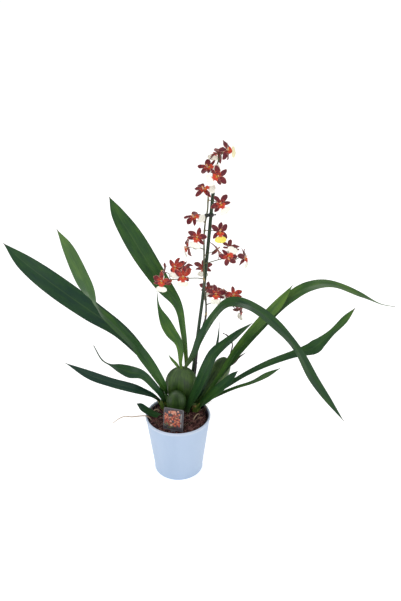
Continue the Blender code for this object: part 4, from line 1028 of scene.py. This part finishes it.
def makeSpike():
    pile = newPile()
    rows = 220
    path = splineRun(spikeRoute, rows)
    radii = np.linspace(spikeSet["footRadius"], spikeSet["tipRadius"], rows)
    for height in spikeSet["nodeHeights"]:
        radii = radii + 0.3 * np.exp(-((path[:, 2] - height) / 2.2) ** 2)
    addTube(pile, path * mm, radii * mm, 14, 0, np.linspace(0.3, 0.75, rows))
    for route in branchRoutes.values():
        run = splineRun(route, 40)
        swell = spikeSet["branchRadius"] * (1.25 - 0.25 * smoothStep(np.linspace(0, 6, 40)))
        addTube(pile, run * mm, swell * mm, 10, 0, 0.62)
    t = np.linspace(0, 1, 18)[:, None]
    taper = np.linspace(1.0, 0.95, 18)
    for k, bloom in enumerate(bloomTable.values()):
        heart, stalk, face, red = bloom[:4]
        start, along = carrierPoint(*stalk)
        foot, basis = bloomFrame(heart, *face)
        facing = np.array(basis @ Vector((0, 0, 1)))
        end = np.array(foot) - facing * 0.1
        early, late = start + along * 5, end - facing * 6
        curve = (1 - t) ** 3 * start + 3 * t * (1 - t) ** 2 * early
        curve = curve + 3 * t ** 2 * (1 - t) * late + t ** 3 * end
        addTube(pile, curve * mm, spikeSet["stalkRadius"] * taper * mm, 8, 0, 0.45 + 0.4 * red)
        out = curve[6] - start
        out = out - along * out.dot(along)
        addBract(pile, start, along, out, (5.5 if stalk[0] == "spike" else 4, 3.4), 1, k * 5)
    for k, height in enumerate(spikeSet["nodeHeights"][:spikeSet["bigBracts"]]):
        i = int(np.argmin(np.abs(path[:, 2] - height)))
        out = np.array([*polar(1, k * 2.6 + 3.6), 0])
        addBract(pile, path[i], path[i + 1] - path[i], out, (11, 5.2), 0 if k < 3 else 1, k * 11)
    dress(pileToObject(pile, "flowerSpike", [stemLook(), bractLook()], 60), "stem_dark", "flower_stem")


makeSpike()
print("flower spike done")


# Blooms: five wavy tepals, a lip with side lobes, a waist and a ruffled blade, a crest and a column

# kinds: how far the tepals bend back, how they sweep round in degrees, and how far the lip bulges
bloomSet = {"hub": 5.0, "petal": (19, 10.5), "sepal": (18, 8.6), "lowSepal": (18, 7.2), "lipLength": 19,
            "lipWidth": 21, "thick": 0.4, "lipThick": 0.48, "grainLength": 18, "edge": 0.5,
            "kinds": [(3, 12, 3), (5.5, -14, 4), (-2.5, 8, 2)]}
# each tepal: where it points in degrees, its size, how much it bends and which way it sweeps
tepalArms = [(24, "petal", 1.0, -1), (90, "sepal", 1.0, 1), (156, "petal", 1.0, 1),
             (214, "lowSepal", 1.6, -1), (326, "lowSepal", 1.6, 1)]
# the lip's outline: share of its length, share of its full width
lipOutline = [(0.0, 0.34), (0.1, 0.6), (0.18, 0.66), (0.26, 0.5), (0.33, 0.3), (0.38, 0.3), (0.46, 0.66),
              (0.58, 0.92), (0.72, 1.0), (0.84, 0.94), (0.94, 0.66), (1.0, 0.3)]


def petalLook():
    look = Look("petalSkin", 0.48, 0.35)
    grain = look.carried("grain")
    across, along, side = look.marks()
    veins = look.streaks(grain, (1.6, 0.12, 1), 3.0, 0.6)
    blotch = look.noise(grain, 0.35, 3.0, 0.6)
    maroon = look.ramp(veins, (0.3, (0.045, 0.002, 0.008)), (0.55, (0.13, 0.004, 0.014)),
                       (0.75, (0.24, 0.01, 0.018)))
    orange = look.ramp(veins, (0.3, (0.3, 0.012, 0.008)), (0.55, (0.5, 0.035, 0.01)),
                       (0.75, (0.62, 0.1, 0.025)))
    redness = look.add(look.carried("tone"), look.span(blotch, 0.35, 0.65, -0.3, 0.3))
    redness = look.add(redness, look.span(along, 0.1, 0.6, 0.4, -0.15))
    colour = look.tint(maroon, orange, redness, 0.45, 1.0)
    # cream margin, then a duller back
    rim = look.add(look.math("ABSOLUTE", across), look.span(blotch, 0.3, 0.7, -0.12, 0.12))
    rim = look.math("MAXIMUM", rim, look.span(along, 0.86, 1.0, 0.6, 1.0))
    colour = look.tint(colour, (0.66, 0.4, 0.28), rim, 0.84, 1.0, 0.0, 0.8)
    look.paint(look.tint(colour, (0.3, 0.07, 0.06), side, -0.2, 0.2, 0.3, 0.0))
    look.bump(veins, 0.00015, 0.7)
    look.fix("Sheen Weight", 0.15)
    return look.skin


def lipLook():
    look = Look("lipSkin", 0.5, 0.35)
    across, along = look.marks()[:2]
    veins = look.streaks(look.carried("grain"), (0.9, 0.3, 1), 3.0, 0.6)
    cream = look.ramp(veins, (0.3, (0.94, 0.91, 0.76)), (0.7, (0.98, 0.97, 0.9)))
    yellow = look.ramp(veins, (0.3, (0.86, 0.72, 0.06)), (0.7, (0.95, 0.86, 0.22)))
    red = look.ramp(veins, (0.3, (0.4, 0.02, 0.012)), (0.55, (0.62, 0.05, 0.02)), (0.8, (0.75, 0.2, 0.06)))
    blade = look.tint(cream, yellow, look.carried("tone"), 0.2, 0.9)
    reach = look.add(along, look.math("POWER", look.math("ABSOLUTE", across), 2.0), 0.06)
    reach = look.add(reach, look.span(veins, 0.2, 0.8, -0.05, 0.05))
    look.paint(look.tint(red, blade, reach, 0.42, 0.5))
    look.bump(veins, 0.0002, 0.7)
    return look.skin


def columnLook(name, low, high):
    look = Look(name, 0.45, 0.4)
    grain = look.carried("grain")
    look.paint(look.ramp(look.noise(grain, 0.8, 3.0), (0.35, low), (0.65, high)))
    look.bump(look.noise(grain, 2.5, 2.0), 0.0001, 0.5)
    return look.skin


def addPetal(pile, cut, rows, steps, thick, look, tone, draw):
    # cut gives a row's middle, its way across, its half width and its bends, for each share of the length
    sheet = newSheet(steps)
    t = sheet["t"]
    body = thick / 2 * (1 - bloomSet["edge"] * t ** 2)[:, None] * np.array([0, 0, 1.0])
    sections = [cut(row / (rows - 1), t) for row in range(rows)]
    seed = draw.uniform(0, 99)
    for row, (centre, across, half, bends) in enumerate(sections):
        share = row / (rows - 1)
        skin = centre + (half * t)[:, None] * across + bends
        addSection(sheet, skin + body, skin - body, share, half, share * bloomSet["grainLength"], seed)
    addSheet(pile, sheet, tone, 1, look)


def addTepal(pile, angle, size, reflex, sweep, tone, draw):
    length, width = size
    wave, phase, roll = draw.uniform(0.5, 1.1), draw.uniform(0, 6), draw.uniform(-0.5, 0.5)

    def cut(place, t):
        share = 0.06 + 0.94 * place
        turn = math.radians(angle + sweep * share)
        out, across = np.array([*polar(1, turn), 0]), np.array([-math.sin(turn), math.cos(turn), 0])
        centre = out * length * share + np.array([0, 0, bloomSet["hub"] - reflex * share ** 2])
        half = max(width / 2 * math.sin(math.pi * min(share ** 1.15 * 0.98, 1)) ** 0.7, 0.25)
        cup = 1.3 * (t ** 2 - 0.3) * math.sin(math.pi * share)
        ruffle = wave * np.abs(t) ** 2 * np.sin(9 * share + phase + 2.2 * np.sign(t))
        ruffle = ruffle + roll * half * t * share
        return centre, across, half, (cup + ruffle)[:, None] * np.array([0, 0, 1.0])

    addPetal(pile, cut, 15, 6, bloomSet["thick"], 0, tone, draw)


def addLip(pile, push, tone, draw):
    shares, wides = zip(*lipOutline)
    phase = draw.uniform(0, 6)

    def cut(share, t):
        lift = push * math.sin(math.pi * share * 0.8)
        centre = np.array([0, -1.5 - bloomSet["lipLength"] * share, bloomSet["hub"] + lift])
        half = bloomSet["lipWidth"] / 2 * float(np.interp(share, shares, wides))
        blade = float(smoothStep((share - 0.35) / 0.2))
        droop = -1.6 * blade * t ** 2 + 1.3 * (1 - blade) * np.abs(t) ** 1.5
        ruffle = 0.7 * blade * np.abs(t) ** 2 * np.sin(7 * share * np.sign(t) + phase + 5 * t)
        notch = 2.4 * float(smoothStep((share - 0.7) / 0.3)) * np.exp(-(t / 0.16) ** 2)
        return centre, np.array([1.0, 0, 0]), half, np.stack([np.zeros_like(t), notch, droop + ruffle], 1)

    addPetal(pile, cut, 24, 14, bloomSet["lipThick"], 1, tone, draw)


def addBall(pile, place, size, look, tone=0.5):
    points = ballPoints * np.array(size) + np.array(place)
    addTo(pile, points, ballFaces, look, None, points, tone)


def makeBloomPile(kind, red, yellow, seed):
    draw = random.Random(seed)
    reflex, sweep, push = bloomSet["kinds"][kind]
    pile = newPile()
    for angle, size, bent, way in tepalArms:
        long, wide = bloomSet[size]
        grown = (long * draw.uniform(0.92, 1.0), wide * draw.uniform(0.88, 1.05))
        addTepal(pile, angle + draw.uniform(-7, 7), grown, reflex * bent + draw.uniform(-2, 2), sweep * way,
                 clamp(red + draw.uniform(-0.12, 0.12), 0, 1), draw)
    addLip(pile, push, yellow, draw)
    # ovary behind, then the column with its wings and cap, and the crest on the lip
    t = np.linspace(0, 1, 8)
    addTube(pile, np.stack([0 * t, 0 * t, 0.2 + 5 * t], 1), 0.75 + 0.5 * t, 8, 4, 0.5)
    addTube(pile, np.stack([0 * t, 0.3 + 1.6 * t ** 1.4, 4.6 + 5.8 * t], 1), 1.5 - 0.35 * t, 10, 2, 0.5)
    for way in (-1, 1):
        addBall(pile, (way * 1.7, 1.6, 9.4), (1.0, 0.35, 1.2), 2)
        addBall(pile, (way * 1.5, -2.4, 6.5), (0.6, 1.1, 0.7), 3)
    addBall(pile, (0, 2.2, 10.8), (1.15, 1.0, 1.0), 3)
    addBall(pile, (0, -3.0, 6.8), (0.7, 1.9, 0.9), 3)
    addBall(pile, (0, 0.2, bloomSet["hub"] - 0.2), (2.3, 2.3, 0.8), 0, red)
    return pile


def makeBlooms():
    looks = [petalLook(), lipLook(), columnLook("columnSkin", (0.62, 0.34, 0.28), (0.8, 0.62, 0.46)),
             columnLook("crestSkin", (0.6, 0.2, 0.02), (0.85, 0.52, 0.06)),
             columnLook("ovarySkin", (0.1, 0.06, 0.03), (0.2, 0.13, 0.05))]
    for k, (name, bloom) in enumerate(bloomTable.items()):
        pile = makeBloomPile(k % 3, bloom[3], bloom[4], 100 + k)
        foot, basis = bloomFrame(bloom[0], *bloom[2])
        pile["points"] = [(points @ np.array(basis).T + np.array(foot)) * mm for points in pile["points"]]
        dress(pileToObject(pile, "flower_" + name[6:], looks, 60), "petal_maroon", name)


makeBlooms()
print("blooms done")


# Support stick, clip and last year's dry spike

def stickLook():
    return streakyLook("stickPlastic", 0.5, 0.4, (1.0, 0.03, 1.0), 4.0, 0.6, (0.0003, 0.7),
                       (0.25, (0.008, 0.022, 0.01)), (0.55, (0.018, 0.045, 0.018)),
                       (0.8, (0.045, 0.085, 0.035)))


def clipLook():
    look = Look("clipPlastic", 0.35, 0.5)
    speck = look.noise(look.place(), 900.0, 3.0)
    look.paint(look.ramp(speck, (0.3, (0.006, 0.006, 0.006)), (0.7, (0.016, 0.016, 0.015))))
    look.feed("Roughness", look.span(speck, 0.3, 0.7, 0.28, 0.45))
    return look.skin


def makeStick():
    pile = newPile()
    rows, radius = 90, spikeSet["stickRadius"]
    path = splineRun(stickRoute, rows)
    radii = np.full(rows, radius)
    for height in (190, 300, 415, 530):
        radii = radii + 0.12 * np.exp(-((path[:, 2] - height) / 1.6) ** 2)
    rings = tubeRings(path, np.minimum(radii, radius + 0.1), 20)
    for point in rings[-1]:
        point[2] += (path[-1][0] - point[0]) * 0.8    # slanted cut
    grain = rings.copy()
    grain[:, :, 1] = path[:, 2][:, None]
    addRings(pile, rings * mm, 0, None, grain)
    dress(pileToObject(pile, "supportStick", [stickLook()], 45), "stick_green", "support_stick")


def addLoop(pile, centre, inside, outside, height):
    # a ring with a rounded section
    rings = []
    for a in turnsOf(28):
        out = np.array([*polar(1, a), 0])
        section = []
        for b in turnsOf(10):
            radial = (inside + outside) / 2 + (outside - inside) / 2 * math.cos(b)
            section.append(centre + out * radial + np.array([0, 0, height / 2 * math.sin(b)]))
        rings.append(section)
    addRings(pile, np.array([*rings, rings[0]]) * mm, capped=False)


def makeClip():
    level = spikeSet["clipHeight"]
    stem, stick = (min(splineRun(route, 400), key=lambda point: abs(point[2] - level))
                   for route in (spikeRoute, stickRoute))
    middle, across = (stem + stick) / 2, stick - stem
    pile = newPile()
    addLoop(pile, stem, 1.6, 4.1, 5.4)
    addLoop(pile, stick, 3.25, 5.4, 5.4)
    addTube(pile, np.linspace(stem, stick, 12) * mm, 1.9 * mm, 10)
    # the two handles
    turned = Matrix.Rotation(math.atan2(across[1], across[0]), 3, "Z")
    for near, far in (((4, -3.4, 0), (13.2, -3.2, 0.4)), ((4, -1.2, 0), (12.6, -3.6, -0.6))):
        start, end = (middle + np.array(turned @ Vector(point)) for point in (near, far))
        addTube(pile, np.linspace(start, end, 10) * mm, np.linspace(1.2, 0.9, 10) * mm, 10, squash=0.8)
    dress(pileToObject(pile, "stemClip", [clipLook()], 50), "clip_black", "stem_clip")


def makeOldSpike():
    look = streakyLook("drySpikeSkin", 0.85, 0.2, (1.5, 0.1, 1.5), 5.0, 0.6, (0.0004, 0.8),
                       (0.25, (0.016, 0.01, 0.008)), (0.55, (0.05, 0.03, 0.02)), (0.8, (0.14, 0.09, 0.05)))
    pile = newPile()
    route = [(94, 66, 186), (103, 68, 206), (107, 68, 224), (109, 66, 243), (99, 64, 262), (90, 62, 269)]
    rows = 60
    knots = 0.2 * np.sin(np.linspace(0, 40, rows)) * np.linspace(0.2, 1, rows)
    radii = 1.25 + knots - 0.5 * smoothStep(np.linspace(-4, 1, rows))
    addTube(pile, splineRun(route, rows) * mm, radii * mm, 10)
    dress(pileToObject(pile, "oldSpike", [look], 60), "dry_stem", "old_spike")


makeStick()
makeClip()
makeOldSpike()
print("stick, clip and old spike done")


# Plant label: a plain card with a printed posy of simple five-petal flowers, and no lettering

labelSet = {"width": 39.5, "height": 45, "thick": 0.8, "foot": (-10, -46, 121.2), "lean": 10, "yaw": -19,
            "stakeWidth": 9, "stakeDepth": 20, "corner": 3, "flowers": 150, "blades": 46, "seed": 5,
            "printHalf": 17.8, "printRight": 13.4}


def printLook(name, low, high):
    look = Look(name, 0.4, 0.4)
    look.paint(look.ramp(look.noise(look.place(), 400.0, 3.0), (0.35, low), (0.65, high)))
    return look.skin


def tonedPrint(name, *stops):
    look = Look(name, 0.35, 0.4)
    look.paint(look.ramp(look.carried("tone"), *stops))
    return look.skin


def makeLabel():
    yaw, lean = math.radians(labelSet["yaw"]), math.radians(-labelSet["lean"])
    place = (Matrix.Translation(Vector(labelSet["foot"])) @ Matrix.Rotation(yaw, 4, "Z")
             @ Matrix.Rotation(lean, 4, "X"))
    half, stake, thick = (labelSet[key] / 2 for key in ("width", "stakeWidth", "thick"))
    tall, corner, deep = labelSet["height"], labelSet["corner"], labelSet["stakeDepth"]
    rightSide = [(stake * 0.15, -deep), (stake * 0.3, -deep + 0.3), (stake, -deep + 6), (stake, 0),
                 (half - 1, 0), (half - 0.3, 0.3), (half, 1)]
    rightSide += arcPoints(half - corner, tall - corner, corner, 0, 90, 9)
    outline = rightSide + [(-x, y) for x, y in reversed(rightSide)]
    pile = newPile()

    def onCard(x, y, lift):
        return np.array(place @ Vector((x, -lift, y)))

    levels = ((0.99, -thick), (1, -thick + 0.15), (1, thick - 0.15), (0.99, thick))
    rings = [[onCard(x * grown, y, level) for x, y in outline] for grown, level in levels]
    addRings(pile, np.array(rings) * mm)
    draw = random.Random(labelSet["seed"])

    def addPatch(points, lift, look, tone=0.5):
        addTo(pile, np.array([onCard(x, y, thick + lift) for x, y in points]) * mm,
              [tuple(range(len(points)))[::-1]], look, tone=tone)

    # dark ground, leaves low down and dusky patches, then a loose mass of small flowers
    addPatch([(-18.2, 1.5), (18.2, 1.5), (18.2, 41.5), (16, 43.4), (-16, 43.4), (-18.2, 41.5)], 0.02, 1)
    edge, right = labelSet["printHalf"], labelSet["printRight"]
    for k in range(labelSet["blades"]):
        x, y = draw.uniform(-17, 14), draw.uniform(2, 15)
        long, a = draw.uniform(3, 8), draw.uniform(0.4, 2.7)
        tip, side = np.array([math.cos(a), math.sin(a)]), np.array([-math.sin(a), math.cos(a)])
        base, wide = np.array([x, y]), draw.uniform(0.6, 1.4)
        belly = base + tip * long * 0.4
        blade = [base, belly + side * wide, base + tip * long, belly - side * wide]
        blade = [(clamp(px, -edge, edge), clamp(py, 2, 43)) for px, py in blade]
        addPatch(blade, 0.03 + 0.001 * k, 2 if x < 2 else 6, draw.random())
    for k in range(labelSet["flowers"]):
        x, y = draw.uniform(-18, 12), 10 + 30 * draw.random()
        if x < -9 and y > 33 + draw.uniform(-3, 3):
            continue
        radius, spin = draw.uniform(1.3, 2.7), draw.uniform(0, 6)
        petals, shape = draw.choice((4, 5, 6)), []
        for j in range(30):
            a = 2 * math.pi * j / 30
            reach = radius * (0.45 + 0.55 * abs(math.cos(petals / 2 * a)) ** 0.7)
            px, py = polar(reach, a + spin)
            shape.append((clamp(x + px, -edge, right), y + py))
        tone = clamp(draw.gauss(0.42 + 0.012 * (y - 25), 0.3), 0, 1)
        addPatch(shape, 0.08 + 0.002 * k, 3, tone)
        heart = [(min(x, 12.8) + 0.5 * math.cos(a), y + 0.5 * math.sin(a)) for a in np.linspace(0, 5.6, 7)]
        addPatch(heart, 0.081 + 0.002 * k, 4)
    # a pale stripe down the right, as a plain border
    addPatch([(14.4, 8), (15.6, 8), (15.6, 36), (14.4, 36)], 0.05, 5)
    looks = [printLook("cardEdge", (0.085, 0.08, 0.09), (0.12, 0.115, 0.125)),
             printLook("printGround", (0.035, 0.032, 0.042), (0.075, 0.06, 0.07)),
             tonedPrint("printLeaf", (0.0, (0.04, 0.055, 0.025)), (1.0, (0.17, 0.17, 0.07))),
             tonedPrint("printFlower", (0.0, (0.1, 0.015, 0.015)), (0.3, (0.34, 0.035, 0.025)),
                        (0.6, (0.58, 0.13, 0.07)), (1.0, (0.62, 0.34, 0.25))),
             printLook("printHeart", (0.5, 0.3, 0.08), (0.62, 0.42, 0.16)),
             printLook("printStripe", (0.3, 0.3, 0.3), (0.42, 0.42, 0.4)),
             printLook("printDusk", (0.1, 0.04, 0.035), (0.2, 0.09, 0.08))]
    dress(pileToObject(pile, "plantLabel", looks, 30), "label_card", "plant_label")


makeLabel()
print("label done")


# Roots: the three in the solids, then fine curls of dry root at the pot's edge and by the bulbs

rootRoutes = {
    "root_over_rim": [(-50, -7, 110), (-54, -8, 122), (-60, -9, 128), (-66, -10, 130), (-76, -12, 131),
                      (-89, -14, 131), (-102, -16, 134), (-114, -18, 130), (-126, -20, 121)],
    "root_on_bark_left": [(-34, 21, 111), (-39, 20, 122), (-47, 17, 123), (-52, 14, 111)],
    "root_on_bark_right": [(27, -12, 111), (33, -6, 122), (40, 2, 123), (45, 7, 111)],
}
rootSet = {"radius": 1.1, "curls": 26, "seed": 9}


def rootLook():
    look = Look("rootSkin", 0.85, 0.2)
    streak = look.streaks(look.carried("grain"), (1.4, 0.25, 1.4), 5.0, 0.65)
    shade = look.add(look.math("MULTIPLY", streak, 0.6), look.carried("tone"), 0.5)
    look.paint(look.ramp(shade, (0.3, (0.14, 0.07, 0.045)), (0.55, (0.36, 0.24, 0.16)),
                         (0.8, (0.6, 0.5, 0.36))))
    look.bump(streak, 0.0004, 0.8)
    return look.skin


def makeRoots():
    skin = rootLook()
    for k, (name, route) in enumerate(rootRoutes.items()):
        pile = newPile()
        rows = 16 * len(route)
        run = splineRun(route, rows)
        shares = np.linspace(0, 1, rows)
        wobble = np.array([noise.noise(Vector((s * 14, k * 5, 0))) for s in shares])
        radii = rootSet["radius"] * (1 - 0.5 * shares ** 3) * (1 + 0.12 * wobble)
        addTube(pile, run * mm, radii * mm, 10, 0, 0.6, seed=k * 20)
        dress(pileToObject(pile, "dryRoot_" + str(k + 1), [skin], 60), "root_tan", name)
    draw = random.Random(rootSet["seed"])
    pile = newPile()
    spots = [(36, -4, 118), (46, 10, 117), (44, 18, 118), (-46, 22, 118), (-42, 30, 118), (-40, 4, 117),
             (24, -20, 117), (14, 2, 120), (-12, 24, 122)]
    for k in range(rootSet["curls"]):
        x, y, z = spots[k % len(spots)]
        point = np.array([x + draw.uniform(-4, 4), y + draw.uniform(-4, 4), z - 2.0])
        heading, pitch = draw.uniform(*anyTurn), draw.uniform(0.3, 1.1)
        path = []
        for _ in range(draw.randint(14, 26)):
            path.append(point.copy())
            level = math.cos(pitch)
            point = point + np.array([math.cos(heading) * level, math.sin(heading) * level, math.sin(pitch)])
            heading += draw.uniform(-0.1, 0.5)
            pitch -= draw.uniform(0.02, 0.16)
            if np.hypot(*point[:2]) > 59 or point[2] < 116:
                break
        if len(path) > 4:
            radii = 0.17 * np.linspace(1.2, 0.6, len(path))
            addTube(pile, np.array(path) * mm, radii * mm, 5, 0, draw.uniform(0.4, 1.0))
    dress(pileToObject(pile, "rootCurls", [skin], 70), "root_tan")


makeRoots()
print("roots done")

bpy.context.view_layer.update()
shown = [o for o in bpy.data.objects if o.type == "MESH" and not o.hide_render]
triangles = sum(len(p.vertices) - 2 for o in shown for p in o.data.polygons)
print("triangles shown:", triangles)
